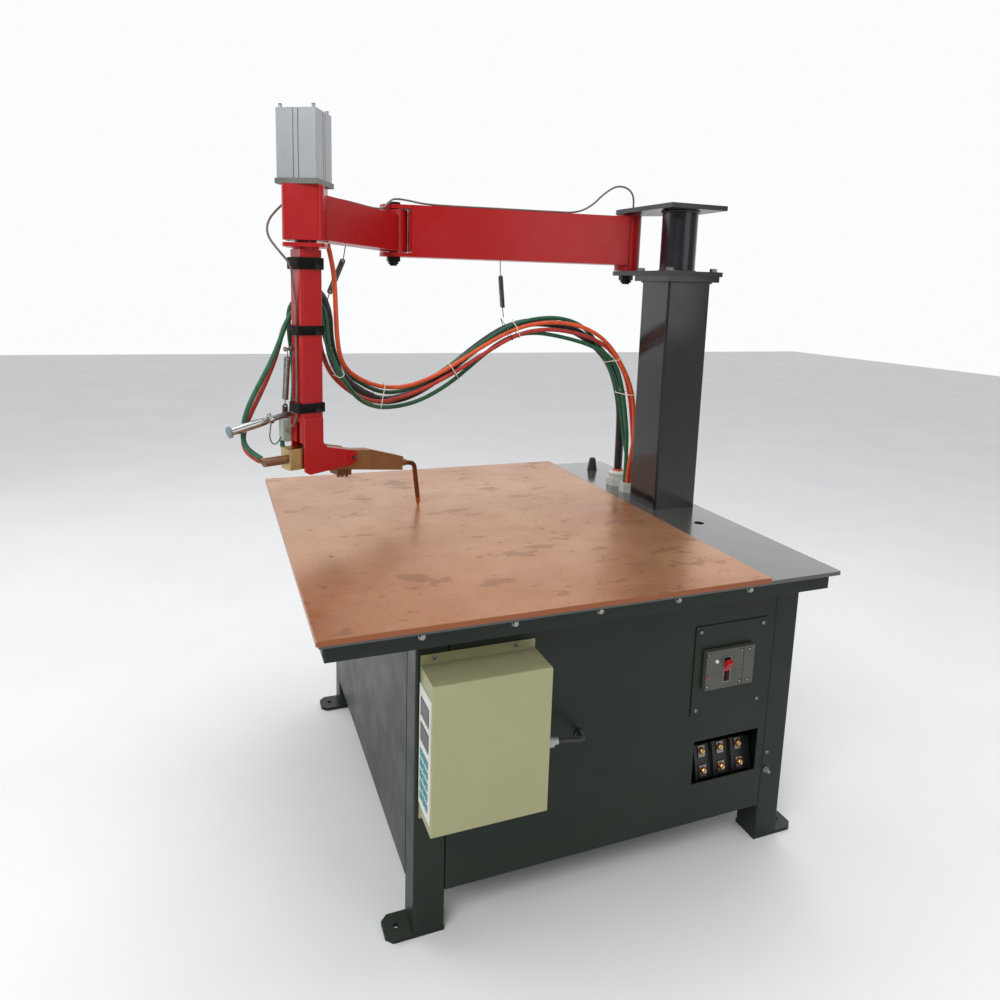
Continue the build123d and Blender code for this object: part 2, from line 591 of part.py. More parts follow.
with BuildPart() as front_arm:
    prism(front_profile(0), FRONT_SIDE, FRONT_W / 2)
    prism(front_profile(FRONT_WALL), FRONT_SIDE, FRONT_W / 2 - FRONT_WALL, Mode.SUBTRACT)
    post(0, 0, MID_BARREL_Z, MID_BARREL_R, FRONT)
    post(0, 0, MID_BARREL_Z, BEARING_R, FRONT, Mode.SUBTRACT)
    rounded_square(HEAD_FRAME, HEAD_SIDE, HEAD_CORNER, HEAD_Z)
    post(0, 0, HEAD_Z, HEAD_BORE_R, HEAD_FRAME, Mode.SUBTRACT)
save(front_arm, "front_arm")

with BuildPart() as front_arm_bearings:
    bearing_pair(FRONT, 0, MID_BARREL_Z, MID_PIN_R + RUNNING, BEARING_R)
    bearing_pair(HEAD_FRAME, 0, HEAD_Z, SPINDLE_R + RUNNING, HEAD_BORE_R)
save(front_arm_bearings, "front_arm_bearings")

with BuildPart() as cylinder_base_plate:
    rounded_square(CYLINDER_FRAME, CYLINDER_PLATE, 2, (HEAD_Z[1], CYLINDER_Z[0]))
    post(0, 0, (HEAD_Z[1], CYLINDER_Z[0]), ROD_R + RUNNING, CYLINDER_FRAME, Mode.SUBTRACT)
save(cylinder_base_plate, "cylinder_base_plate")

with BuildPart() as air_cylinder:
    rounded_square(CYLINDER_FRAME, CYLINDER_SIDE, 2, CYLINDER_Z)
    half = CYLINDER_SIDE / 2
    for turn in range(4):
        face_frame = yawed(HEAD, CYLINDER_YAW + 90 * turn)
        for groove in (-6.5, 6.5):
            groove_y = (groove - 1.6, groove + 1.6)
            groove_z = (CYLINDER_Z[0] - 1, CYLINDER_Z[1] + 1)
            block((half - 3, half + 1), groove_y, groove_z, face_frame, Mode.SUBTRACT)
    post(0, 0, (CYLINDER_Z[0] - 1, CYLINDER_Z[1] - 16), PISTON_R, CYLINDER_FRAME, Mode.SUBTRACT)
    for sx in SIDES:
        for sy in SIDES:
            post(sx * 43, sy * 43, (CYLINDER_Z[1], CYLINDER_Z[1] + 8), 4.5, CYLINDER_FRAME)
save(air_cylinder, "air_cylinder")

# ---- tool: spindle, square tube, cheeks, straps ----
SLOT_HALF = 8.0
CHEEK = [
    (-30, 970), (-16, 962), (118, 972), (130, 984), (130, 1003),
    (122, 1011), (36, 1031), (24, 1046), (24, 1114), (-30, 1114),
]
with BuildPart() as tool_tube:
    rounded_square(TOOL, TUBE, 6, TUBE_Z)
    post(0, 0, (TUBE_Z[1], TUBE_Z[1] + 6), 34, TOOL)
    rounded_square(HEAD_FRAME, HEAD_SIDE, HEAD_CORNER, (1552.5, 1562.5))
    post(0, 0, (1562.5, HEAD_Z[1] - 2), SPINDLE_R, TOOL)
    rounded_square(TOOL, TUBE - 2 * TUBE_WALL, 2, (TUBE_Z[0] - 1, TUBE_Z[1] - 8), Mode.SUBTRACT)
    post(0, 0, (TUBE_Z[1] - 10, HEAD_Z[1]), ROD_R + 2, TOOL, Mode.SUBTRACT)
    block((-TUBE, 0), (-SLOT_HALF, SLOT_HALF), (TUBE_Z[0] - 1, 1094), TOOL, Mode.SUBTRACT)
    bar(in_tool(-TUBE, 0, 1094), in_tool(0, 0, 1094), SLOT_HALF, Mode.SUBTRACT)
    for low in (CHEEK_Y[0], -CHEEK_Y[1]):
        with BuildSketch(TOOL_SIDE.offset(-low)) as face:
            with BuildLine():
                Polyline(*CHEEK, close=True)
            make_face()
            fillet(face.vertices(), 5)
            with Locations(LEVER_PIVOT):
                Circle(LEVER_BOLT_R, mode=Mode.SUBTRACT)
        extrude(to_extrude=face.sketch, amount=-(CHEEK_Y[1] - CHEEK_Y[0]))
save(tool_tube, "tool_tube")

with BuildPart() as hook_loop_straps:
    for z in ((1497, 1527), (1330, 1354), (1127, 1152)):
        block((-39.5, 33.5), (-33.5, 33.5), z, TOOL)
        block((-37, 30), (-30, 30), z, TOOL, Mode.SUBTRACT)
save(hook_loop_straps, "hook_loop_straps")

def on_pivot(side):
    return in_tool(LEVER_PIVOT[0], side, LEVER_PIVOT[1])


with BuildPart() as lever_pivot_bolt:
    bar(on_pivot(-43), on_pivot(46), LEVER_BOLT_R)
    for side in SIDES:
        bar(on_pivot(side * CHEEK_Y[1]), on_pivot(side * (CHEEK_Y[1] + 6)), 11)
save(lever_pivot_bolt, "lever_pivot_bolt")

# ---- handle on the far side of the tube ----
HANDLE_Y = 46.0
HANDLE_ROOT = (-4.0, 1122.0)
HANDLE_END = (-199.0, 1083.0)
HANDLE_SLOPE = Vector(HANDLE_END[0] - HANDLE_ROOT[0], HANDLE_END[1] - HANDLE_ROOT[1]).normalized()


def on_handle(distance, above=0.0):
    """World point on the handle's axis, at a distance from its root, lifted square to the axis."""
    s = HANDLE_ROOT[0] + HANDLE_SLOPE.X * distance + HANDLE_SLOPE.Y * above
    z = HANDLE_ROOT[1] + HANDLE_SLOPE.Y * distance - HANDLE_SLOPE.X * above
    return in_tool(s, HANDLE_Y, z)


HANDLE_L = hypot(HANDLE_END[0] - HANDLE_ROOT[0], HANDLE_END[1] - HANDLE_ROOT[1])
COLLAR_AT = 74.0
with BuildPart() as handle_bracket:
    bar(on_handle(0), on_handle(COLLAR_AT + 4), 8)
    bar(on_handle(34), on_handle(44), 10)
    lug_frame = Plane(origin=on_handle(39, 0), x_dir=Vector(*TOOL_DIR, 0), z_dir=-TOOL.y_dir)
    with BuildSketch(lug_frame.offset(-3)) as face:
        with Locations((0, 14)):
            Rectangle(14, 20)
        with Locations((0, 24)):
            Circle(7)
            Circle(2.6, mode=Mode.SUBTRACT)
    extrude(to_extrude=face.sketch, amount=6)
    block((-28, 8), (TUBE / 2, HANDLE_Y + 14), (1116, 1126), TOOL)
    block((-28, 8), (CHEEK_Y[1], HANDLE_Y + 14), (1106, 1116), TOOL)
save(handle_bracket, "handle_bracket")

GRIP_START = COLLAR_AT + 14.0
with BuildPart() as handle_grip:
    grip_axis = Vector(*on_handle(HANDLE_L)) - Vector(*on_handle(GRIP_START))
    grip_l = grip_axis.length
    frame = Plane(origin=on_handle(GRIP_START), x_dir=TOOL.y_dir, z_dir=grip_axis)
    grip_side = Plane(origin=frame.origin, x_dir=frame.x_dir, z_dir=-frame.y_dir)
    with BuildSketch(grip_side) as face:
        with BuildLine():
            Spline((8.5, 0), (11.8, grip_l * 0.42), (9.5, grip_l - 4), tangents=((1, 4), (-0.5, 4)))
            Polyline((9.5, grip_l - 4), (0, grip_l - 4), (0, 0), (8.5, 0))
        make_face()
    revolve(face.sketch, axis=Axis(frame.origin, frame.z_dir))
save(handle_grip, "handle_grip")

with BuildPart() as handle_fittings:
    bar(on_handle(HANDLE_L - 4), on_handle(HANDLE_L), 15)
    bar(on_handle(COLLAR_AT + 4), on_handle(GRIP_START), 12.5)
    bar(on_handle(COLLAR_AT + 9, 9), on_handle(COLLAR_AT + 9, 17), 4.6)
    bar(on_handle(COLLAR_AT + 9, 12.9), on_handle(COLLAR_AT + 9, 18), 3.6, Mode.SUBTRACT)
save(handle_fittings, "handle_fittings")

with BuildPart() as handle_button:
    bar(on_handle(COLLAR_AT + 9, 15.2), on_handle(COLLAR_AT + 9, 21), 3.5)
save(handle_button, "handle_button")

with BuildPart() as junction_box:
    with BuildSketch(TOOL_SIDE.offset(-CHEEK_Y[1])) as face:
        with Locations((-28, 1071.5)):
            Rectangle(48, 59)
        fillet(face.vertices().sort_by(Axis.Z)[:2], 10)
    extrude(to_extrude=face.sketch, amount=-24)
save(junction_box, "junction_box")

# ---- push rod with piston and clevis ----
CLEVIS_PIN_Z = 1052.0
with BuildPart() as push_rod:
    post(0, 0, (1790, 1815), PISTON_R - RUNNING, TOOL)
    post(0, 0, (1074, 1790), ROD_R, TOOL)
    block((-11, 11), (-13.5, 13.5), (1040, 1076), TOOL)
    block((-30, 30), (-7.5, 7.5), (1030, 1066), TOOL, Mode.SUBTRACT)
    bar(in_tool(0, -13.5, CLEVIS_PIN_Z), in_tool(0, 13.5, CLEVIS_PIN_Z), 4)
save(push_rod, "push_rod")

# ---- rocking lever, electrode and water terminal ----
LEVER = [
    (-20, 974), (-6, 966), (118, 953), (300, 925), (303, 965),
    (190, 1000), (140, 1006), (52, 1026), (24, 1031), (-20, 1031),
]
LEVER_HALF = 18.0
LUG = [(-14, 1028), (24, 1028), (24, 1056), (18, 1062), (-8, 1062), (-14, 1056)]
with BuildPart() as lever_arm:
    prism(LEVER, TOOL_SIDE, LEVER_HALF)
    prism(LUG, TOOL_SIDE, 6)
    bar(on_pivot(-29.5), on_pivot(29.5), 15)
    bar(on_pivot(-31), on_pivot(31), LEVER_BOLT_R + RUNNING, Mode.SUBTRACT)
    block((0, 11), (-7, 7), (CLEVIS_PIN_Z - 5.5, CLEVIS_PIN_Z + 5.5), TOOL, Mode.SUBTRACT)
    for end in (0, 11):
        bar(in_tool(end, -7, CLEVIS_PIN_Z), in_tool(end, 7, CLEVIS_PIN_Z), 5.5, Mode.SUBTRACT)
    bar(in_tool(301, 0, 946), in_tool(322, 0, 941.6), 10)
save(lever_arm, "lever_arm")

with BuildPart() as brass_block:
    block((-68, -20), (-25, 25), (978, 1034), TOOL)
    fillet(brass_block.edges().filter_by(Axis.Z), 3)
    bar(in_tool(-46, 22, 1003), in_tool(-46, 32, 1009), 4.4)
save(brass_block, "brass_block")

ROD_Z = 1004.0
with BuildPart() as water_terminal:
    bar(in_tool(-68, 0, ROD_Z), in_tool(-128, 0, ROD_Z), 12)
    for side in (-1, 1):
        base = Vector(-126, 6 * side, ROD_Z - 4.5 * side)
        tip = base + Vector(-0.425, 0.81, 0.408) * 14
        bar(in_tool(*base), in_tool(*tip), 4.4)
save(water_terminal, "water_terminal")

with BuildPart() as cable_clamp_block:
    with BuildSketch(TOOL_SIDE.offset(-20)) as face:
        with BuildLine():
            Polyline((78, 957.19), (118, 953), (122, 952.38), (122, 938), (78, 943), close=True)
        make_face()
    extrude(to_extrude=face.sketch, amount=40)
    for s in (86, 98, 112):
        post(s, -10, (934 - (s - 98) * 0.11, 942 - (s - 98) * 0.11), 4.5, TOOL)
save(cable_clamp_block, "cable_clamp_block")

TIP_Z = TABLE_Z + TIP_CLEAR
with BuildPart() as electrode:
    with BuildLine() as path:
        FilletPolyline(in_tool(322.5, 0, 941.5), in_tool(356, 0, 934.2), in_tool(371.6, 0, 826), radius=18)
    with BuildSketch(path.line ^ 0):
        Circle(ELECTRODE_R)
    sweep()
save(electrode, "electrode")

with BuildPart() as electrode_tip:
    axis = Vector(*in_tool(TIP_X, 0, TIP_Z + 4)) - Vector(*in_tool(371.6, 0, 826))
    with Locations(Plane(origin=Vector(*in_tool(371.6, 0, 826)) + axis.normalized() * 0.4, z_dir=axis)):
        Cylinder(6.5, axis.length - 6.4, align=(Align.CENTER, Align.CENTER, Align.MIN))
    with Locations(Plane(origin=Vector(*in_tool(TIP_X, 0, TIP_Z + 4)) - axis.normalized() * 6, z_dir=axis)):
        Cone(6.5, 3.5, 6, align=(Align.CENTER, Align.CENTER, Align.MIN))
    post(TIP_X, 0, (TIP_Z, TIP_Z + 4.6), 3.2, TOOL)
save(electrode_tip, "electrode_tip")


# ---- balance springs ----
def hanger(name, top, body_top, body_bottom, bottom, r):
    """Tension spring as a plain bar, with its end wires."""
    with BuildPart() as spring:
        bar(top, body_top, 1.6)
        bar(body_top, body_bottom, r)
        bar(body_bottom, bottom, 1.6)
    save(spring, name)


hanger("spring_main_arm", (-278, -33, 1548), (-277, -31, 1500), (-276, -21, 1402), (-276, -17, 1378), 6)
hanger("spring_front_arm", (-157, -541, 1565), (-149, -549, 1529), (-108, -594, 1437), (-101, -601, 1421), 6)

with BuildPart() as spring_handle:
    bar(in_tool(-30, 20, 1292), in_tool(-52, 20, 1292), 4)
    bar(in_tool(-52, 20, 1292), in_tool(-55, 20, 1292), 7)
    bar(in_tool(-45, 20, 1291), in_tool(-44, 24, 1272), 1.6)
    bar(in_tool(-44, 24, 1272), in_tool(-43, 42, 1156), 7)
    bar(in_tool(-43, 42, 1156), in_tool(-42, 45, 1147), 1.6)
save(spring_handle, "spring_handle")


# ---- cables and hoses ----
def radii_of(points):
    """Arc at each corner: as large as the shorter run beside it allows."""
    corners = []
    for before, here, after in zip(points, points[1:], points[2:]):
        run_in = Vector(*here) - Vector(*before)
        run_out = Vector(*after) - Vector(*here)
        turn = radians(run_in.get_angle(run_out))
        corners.append(0.45 * min(run_in.length, run_out.length) / tan(turn / 2))
    return corners


def cord(name, points, r):
    radii = radii_of(points)
    with BuildPart() as tube:
        with BuildLine() as path:
            FilletPolyline(*points, radius=radii)
        with BuildSketch(path.line ^ 0):
            Circle(r)
        sweep()
    section = pi * r * r
    length = sum(piece.length for piece in path.line.edges())
    share = tube.part.volume / (section * length)
    print(name, "length", round(length), "volume share", round(share, 4))
    print("  bend radii", [round(radius) for radius in radii])
    save(tube, name)


POWER_CABLE = [
    (-284, 441, 764), (-284, 441, 880), (-277, 436, 970), (-268, 428, 1080), (-258, 380, 1215),
    (-256, 307, 1290), (-261, 211, 1345), (-271, 95, 1362), (-281, 2, 1343), (-293, -89, 1285),
    (-311, -205, 1186), (-326, -298, 1122), (-318, -392, 1102), (-250, -470, 1136), (-174, -545, 1192),
    (-128, -582, 1256), (-109, -597, 1318), (-109, -598, 1384), (-163, -613, 1440), (-238, -633, 1440),
    (-292, -648, 1384), (-291, -647, 1290), (-284, -645, 1190), (-266, -640, 1100), (-226, -625, 1020),
    (-176, -606, 968), (-130, -588, 949), (-101.5, -577.1, 947.6),
]
GREEN_HOSE = [
    (-200, 434, 770), (-200, 434, 838), (-222, 435, 905), (-247, 431, 985), (-246, 414, 1080),
    (-231, 380, 1165), (-229, 345, 1232), (-230, 299, 1298), (-231, 244, 1352), (-237, 164, 1376),
    (-247, 81, 1371), (-258, -5, 1347), (-270, -97, 1286), (-282, -192, 1217), (-294, -270, 1165),
    (-306, -345, 1134), (-276, -420, 1138), (-214, -512, 1190), (-166, -574, 1248), (-143, -602, 1312),
    (-136, -610, 1372), (-117, -634, 1405), (-95, -676, 1405), (-80, -706, 1372),
]
RED_HOSE = [
    (-186, 434, 770), (-186, 434, 840), (-183, 436, 915), (-188, 432, 990), (-191, 424, 1065),
    (-191, 412, 1130), (-193, 392, 1195), (-199, 353, 1258), (-206, 298, 1301), (-217, 211, 1329),
    (-230, 109, 1340), (-242, 10, 1319), (-256, -101, 1249), (-268, -196, 1189), (-280, -280, 1145),
    (-298, -350, 1116), (-257, -425, 1109), (-188, -502, 1141), (-146, -548, 1174), (-129, -590, 1216),
    (-141, -614, 1280), (-152, -618, 1351), (-136, -647, 1384), (-113, -687, 1384), (-97, -716, 1351),
]
RETURN_HOSE = [
    (-200, 420, 770), (-200, 420, 836), (-203, 422, 900), (-208, 424, 980), (-212, 414, 1060),
    (-212, 396, 1150), (-209, 360, 1238), (-218, 280, 1286), (-242, 170, 1315), (-255, 68, 1328),
    (-265, -20, 1303), (-275, -98, 1240), (-286, -185, 1163), (-297, -278, 1108), (-300, -352, 1089),
    (-240, -430, 1097), (-166, -498, 1130), (-118, -546, 1184), (-92, -580, 1240), (-79, -605, 1306),
]
AIR_HOSE = [
    (-186, 420, 770), (-186, 420, 838), (-176, 421, 905), (-171, 428, 985), (-174, 426, 1060),
    (-174, 410, 1150), (-182, 364, 1240), (-192, 311, 1306), (-203, 243, 1346), (-218, 158, 1362),
    (-232, 74, 1356), (-242, -7, 1331), (-254, -102, 1276), (-266, -197, 1213), (-279, -282, 1168),
    (-286, -352, 1150), (-244, -436, 1162), (-166, -523, 1207), (-118, -562, 1252), (-92, -576, 1312),
    (-86, -580, 1388), (-88, -582, 1460), (-92, -588, 1520), (-90, -600, 1566),
]
# The last stretch of each hose, from the tool's own distances along, across and up.
GREEN_TAIL = [
    (-48, 58, 1308), (-77.5, 60, 1246), (-112, 63, 1188), (-138, 69, 1134), (-151, 69, 1086),
    (-156, 56, 1050), (-148.1, 33, 1028.2), (-132.2, 5.8, 1014.5),
]
RED_TAIL = [
    (-42, 78, 1286), (-66, 80, 1226), (-92, 83, 1172), (-119, 85, 1122), (-140, 84, 1078),
    (-150, 71, 1042), (-148.1, 45, 1019.2), (-132.2, 17.8, 1005.5),
]
RETURN_TAIL = [
    (64, 12, 1393), (41, 34.5, 1425), (9, 65.5, 1425), (-6, 87, 1393), (0, 96, 1330),
    (10, 96, 1258), (12, 95, 1184), (4, 94, 1120), (-20, 88, 1066), (-46.5, 67, 1027),
    (-46, 33, 1009.6),
]

SIGNAL_R = 3.0
ARM_TOP = MAIN_Z[1] + SIGNAL_R + 0.3
SIGNAL_ON_MAIN = [
    (760, -40, 1724.3), (762, -42, 1756), (744, -43, 1786), (702, -41, 1795), (660, -37, 1768),
    (622, -34, 1728), (572, -31, ARM_TOP), (492, -33, ARM_TOP), (406, -31, ARM_TOP), (322, -33, ARM_TOP),
    (238, -31, ARM_TOP), (156, -33, ARM_TOP), (86, -30, ARM_TOP + 2), (38, -14, 1717),
]
SIGNAL_ON_FRONT = [
    (16, 12, 1719), (54, 20, 1706), (88, 22, 1681), (140, 20, 1678), (205, 22, 1681.2),
    (270, 18, 1684.4), (316, -6, 1688), (345, -46, 1688), (374, -72, 1684),
]
SIGNAL_AT_HEAD = [(-118, -724, 1652), (-88, -752, 1618), (-50, -758, 1580), (-28, -734, 1544)]
SIGNAL_ON_TUBE = [
    (-44, -3, 1508), (-41, -3, 1466), (-34, -4, 1424), (-33.3, -5, 1364), (-33.3, -3, 1300),
    (-33.3, -5, 1232), (-33.3, -3, 1168), (-33.3, -4, 1118), (-39, 6, 1092), (-45, 22, 1080),
    (-46, 37, 1075),
]
SIGNAL_CABLE = [tuple(MAIN.from_local_coords(Vector(*spot))) for spot in SIGNAL_ON_MAIN]
SIGNAL_CABLE += [tuple(FRONT.from_local_coords(Vector(*spot))) for spot in SIGNAL_ON_FRONT]
SIGNAL_CABLE += SIGNAL_AT_HEAD
SIGNAL_CABLE += [in_tool(*spot) for spot in SIGNAL_ON_TUBE]

HANDLE_LEAD = [
    in_tool(-83, 46, 1092.6), in_tool(-87, 47, 1070), in_tool(-85, 49, 1050), in_tool(-75, 51, 1036),
    in_tool(-61, 51, 1039), in_tool(-53.3, 50, 1055),
]
CONTROLLER_CABLE = [
    (597, -205.2, 471), (597, -176, 468), (590, -146, 458), (572, -124, 444), (546, -115, 433),
    (520, -116, 429),
]

cord("power_cable", POWER_CABLE, 14)
cord("green_hose", GREEN_HOSE + [in_tool(*spot) for spot in GREEN_TAIL], 6.5)
cord("red_hose", RED_HOSE + [in_tool(*spot) for spot in RED_TAIL], 6.5)
cord("return_hose", RETURN_HOSE + [in_tool(*spot) for spot in RETURN_TAIL], 6.5)
cord("air_hose", AIR_HOSE, 6.5)
cord("signal_cable", SIGNAL_CABLE, SIGNAL_R)
cord("handle_lead", HANDLE_LEAD, 1.5)
cord("controller_cable", CONTROLLER_CABLE, 5)
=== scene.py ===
"""Looks of the table spot welder: studio, camera, materials, hoses, springs and small fittings.

Everything is in metres in the CAD's own frame: +X operator's right, +Y towards the column, +Z up.
"""

import json
from math import cos, pi, radians, sin

import bmesh
import bpy
from mathutils import Matrix, Vector


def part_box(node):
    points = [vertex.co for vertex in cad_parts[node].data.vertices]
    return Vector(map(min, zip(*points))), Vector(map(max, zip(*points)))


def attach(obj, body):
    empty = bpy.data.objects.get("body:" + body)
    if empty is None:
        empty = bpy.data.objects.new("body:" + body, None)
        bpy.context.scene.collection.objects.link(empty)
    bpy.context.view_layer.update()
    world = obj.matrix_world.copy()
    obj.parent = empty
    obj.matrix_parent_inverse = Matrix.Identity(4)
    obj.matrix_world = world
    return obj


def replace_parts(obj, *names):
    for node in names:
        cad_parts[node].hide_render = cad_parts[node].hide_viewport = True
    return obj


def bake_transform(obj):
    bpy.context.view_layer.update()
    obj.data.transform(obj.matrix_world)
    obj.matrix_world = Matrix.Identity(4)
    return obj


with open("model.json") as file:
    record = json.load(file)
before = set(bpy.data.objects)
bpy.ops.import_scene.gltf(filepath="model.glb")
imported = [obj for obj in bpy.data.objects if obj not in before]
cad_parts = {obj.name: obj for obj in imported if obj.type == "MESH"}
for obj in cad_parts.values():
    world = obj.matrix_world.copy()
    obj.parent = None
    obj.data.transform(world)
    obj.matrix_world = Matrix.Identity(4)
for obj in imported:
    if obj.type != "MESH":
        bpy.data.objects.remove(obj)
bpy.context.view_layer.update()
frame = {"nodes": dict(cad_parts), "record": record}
NODES = frame["nodes"]
MM = 0.001

# ---- where the arms turn ----
MID_PIVOT = Vector((-0.320, -0.367, 0))
REAR_PIVOT = Vector((-0.224, 0.393, 0))
HEAD = Vector((-0.043, -0.6625, 0))
COLUMN = Vector((-0.0446, 0.4658, 0))


class Frame:
    """Upright frame on the floor under a point: x along a direction in plan, distances in mm."""

    def __init__(self, origin, along):
        self.origin = origin
        self.x = Vector((along[0], along[1], 0)).normalized()
        self.y = Vector((-self.x.y, self.x.x, 0))

    def __call__(self, along, across, up):
        return self.origin + self.x * along * MM + self.y * across * MM + Vector((0, 0, up * MM))


def turned(angle):
    return (cos(radians(angle)), sin(radians(angle)))


MAIN = Frame(MID_PIVOT, REAR_PIVOT - MID_PIVOT)
FRONT = Frame(MID_PIVOT, HEAD - MID_PIVOT)
TOOL = Frame(HEAD, (-0.3811, 0.9245))
CYLINDER = Frame(HEAD, turned(-30.3))
WORLD = Frame(Vector((0, 0, 0)), (1, 0))


# ---- camera and light ----
def camera():
    azimuth, pitch, roll = radians(158.99), radians(9.55), radians(1.61)
    forward = Vector((cos(pitch) * cos(azimuth), cos(pitch) * sin(azimuth), -sin(pitch)))
    level = forward.cross(Vector((0, 0, 1))).normalized()
    upward = level.cross(forward)
    right = level * cos(roll) + upward * sin(roll)
    up = upward * cos(roll) - level * sin(roll)
    data = bpy.data.cameras.new("camera")
    data.sensor_width = 36
    data.lens = 26.75
    data.shift_x = 0.0101
    data.shift_y = -0.0867
    obj = bpy.data.objects.new("camera", data)
    bpy.context.scene.collection.objects.link(obj)
    turn = Matrix((right, up, -forward)).transposed().to_4x4()
    obj.matrix_world = Matrix.Translation((1.9502, -0.9091, 1.4625)) @ turn
    bpy.context.scene.camera = obj


def area_light(name, place, target, size, power, tint=(1, 1, 1)):
    data = bpy.data.lights.new(name, "AREA")
    data.shape = "RECTANGLE"
    data.size, data.size_y = size
    data.energy = power
    data.color = tint
    obj = bpy.data.objects.new(name, data)
    bpy.context.scene.collection.objects.link(obj)
    obj.location = place
    obj.rotation_euler = (Vector(target) - Vector(place)).to_track_quat("-Z", "Y").to_euler()


def studio():
    scene = bpy.context.scene
    scene.render.resolution_x = scene.render.resolution_y = 1000
    scene.view_settings.view_transform = "Standard"
    scene.view_settings.exposure = 0.0
    world = bpy.data.worlds.new("studio")
    world.use_nodes = True
    nodes, links = world.node_tree.nodes, world.node_tree.links
    split = nodes.new("ShaderNodeSeparateXYZ")
    fade = nodes.new("ShaderNodeMapRange")
    fade.inputs["From Min"].default_value = -0.35
    fade.inputs["From Max"].default_value = 0.35
    fade.inputs["To Min"].default_value = 1.0
    fade.inputs["To Max"].default_value = 0.24
    links.new(nodes.new("ShaderNodeTexCoord").outputs["Generated"], split.inputs["Vector"])
    links.new(split.outputs["X"], fade.inputs["Value"])
    nodes["Background"].inputs["Color"].default_value = (0.97, 0.98, 1.0, 1)
    links.new(fade.outputs["Result"], nodes["Background"].inputs["Strength"])
    scene.world = world
    area_light("key", (2.6, -2.4, 3.6), (-0.1, -0.1, 0.9), (2.2, 1.6), 85)
    area_light("fill", (3.4, 1.6, 2.2), (0.2, 0.1, 0.7), (2.4, 2.4), 22)
    area_light("left", (-2.4, -3.2, 2.6), (-0.1, -0.4, 1.0), (2.0, 2.4), 20)
    area_light("top", (-0.2, 0.4, 4.2), (-0.1, -0.1, 0.8), (3.0, 3.0), 48)


camera()
studio()


# ---- materials ----
def shade(colour, factor):
    return tuple(min(1.0, c * factor) for c in colour[:3]) + (1,)


def srgb(red, green, blue):
    """Linear colour from a matched 0 to 255 one."""
    shares = (red / 255, green / 255, blue / 255)
    return tuple(c / 12.92 if c < 0.04 else ((c + 0.055) / 1.055) ** 2.4 for c in shares) + (1,)


class Shader:
    """A node material with a Principled shader and object-space coordinates."""

    def __init__(self, name):
        self.material = bpy.data.materials.new(name)
        self.material.use_nodes = True
        self.nodes = self.material.node_tree.nodes
        self.links = self.material.node_tree.links
        self.principled = self.nodes["Principled BSDF"]
        self.coordinates = self.nodes.new("ShaderNodeTexCoord").outputs["Object"]

    def link(self, source, target):
        self.links.new(source, target)
        return target

    def stretched(self, scale):
        mapping = self.nodes.new("ShaderNodeMapping")
        mapping.inputs["Scale"].default_value = scale
        self.link(self.coordinates, mapping.inputs["Vector"])
        return mapping.outputs["Vector"]

    def noise(self, scale, detail=4.0, rough=0.55, stretch=None):
        made = self.nodes.new("ShaderNodeTexNoise")
        made.inputs["Scale"].default_value = scale
        made.inputs["Detail"].default_value = detail
        made.inputs["Roughness"].default_value = rough
        vector = self.stretched(stretch) if stretch else self.coordinates
        self.link(vector, made.inputs["Vector"])
        return made.outputs["Fac"]

    def ramp(self, fac, stops):
        made = self.nodes.new("ShaderNodeValToRGB")
        elements = made.color_ramp.elements
        elements[0].position, elements[0].color = stops[0]
        elements[1].position, elements[1].color = stops[-1]
        for position, colour in stops[1:-1]:
            elements.new(position).color = colour
        self.link(fac, made.inputs["Fac"])
        return made.outputs["Color"]

    def mix(self, fac, first, second):
        made = self.nodes.new("ShaderNodeMix")
        made.data_type = "RGBA"
        self.link(fac, made.inputs["Factor"])
        for socket, value in ((made.inputs[6], first), (made.inputs[7], second)):
            if hasattr(value, "links"):
                self.link(value, socket)
            else:
                socket.default_value = value
        return made.outputs[2]

    def bump(self, height, strength, distance=0.001):
        made = self.nodes.new("ShaderNodeBump")
        made.inputs["Strength"].default_value = strength
        made.inputs["Distance"].default_value = distance
        self.link(height, made.inputs["Height"])
        self.link(made.outputs["Normal"], self.principled.inputs["Normal"])

    def roughness(self, fac, low, high):
        made = self.nodes.new("ShaderNodeMapRange")
        made.inputs["From Min"].default_value = 0.3
        made.inputs["From Max"].default_value = 0.7
        made.inputs["To Min"].default_value = low
        made.inputs["To Max"].default_value = high
        self.link(fac, made.inputs["Value"])
        self.link(made.outputs["Result"], self.principled.inputs["Roughness"])

    def colour(self, source):
        self.link(source, self.principled.inputs["Base Color"])

    def fixed(self, **values):
        for key, value in values.items():
            self.principled.inputs[key.replace("_", " ")].default_value = value


def gloss_paint(name, colour, gloss=0.2, cloud=0.14, coat=0.5, shine=0.5):
    """Sprayed enamel: faint clouding, orange peel and a thin dust film on level faces."""
    made = Shader(name)
    clouds = made.noise(3.2, 5)
    tone = made.ramp(clouds, [(0.3, shade(colour, 1 - cloud)), (0.7, shade(colour, 1 + cloud))])
    normal = made.nodes.new("ShaderNodeNewGeometry").outputs["Normal"]
    split = made.nodes.new("ShaderNodeSeparateXYZ")
    made.link(normal, split.inputs["Vector"])
    level = made.ramp(split.outputs["Z"], [(0.55, (0, 0, 0, 1)), (1.0, (0.07, 0.07, 0.07, 1))])
    dust = made.mix(level, tone, (0.36, 0.35, 0.33, 1))
    made.colour(dust)
    made.roughness(made.noise(11, 3), gloss, gloss + 0.12)
    made.bump(made.noise(150, 2), 0.03, 0.0006)
    made.fixed(Coat_Weight=coat, Coat_Roughness=0.12, Specular_IOR_Level=shine)
    return made.material


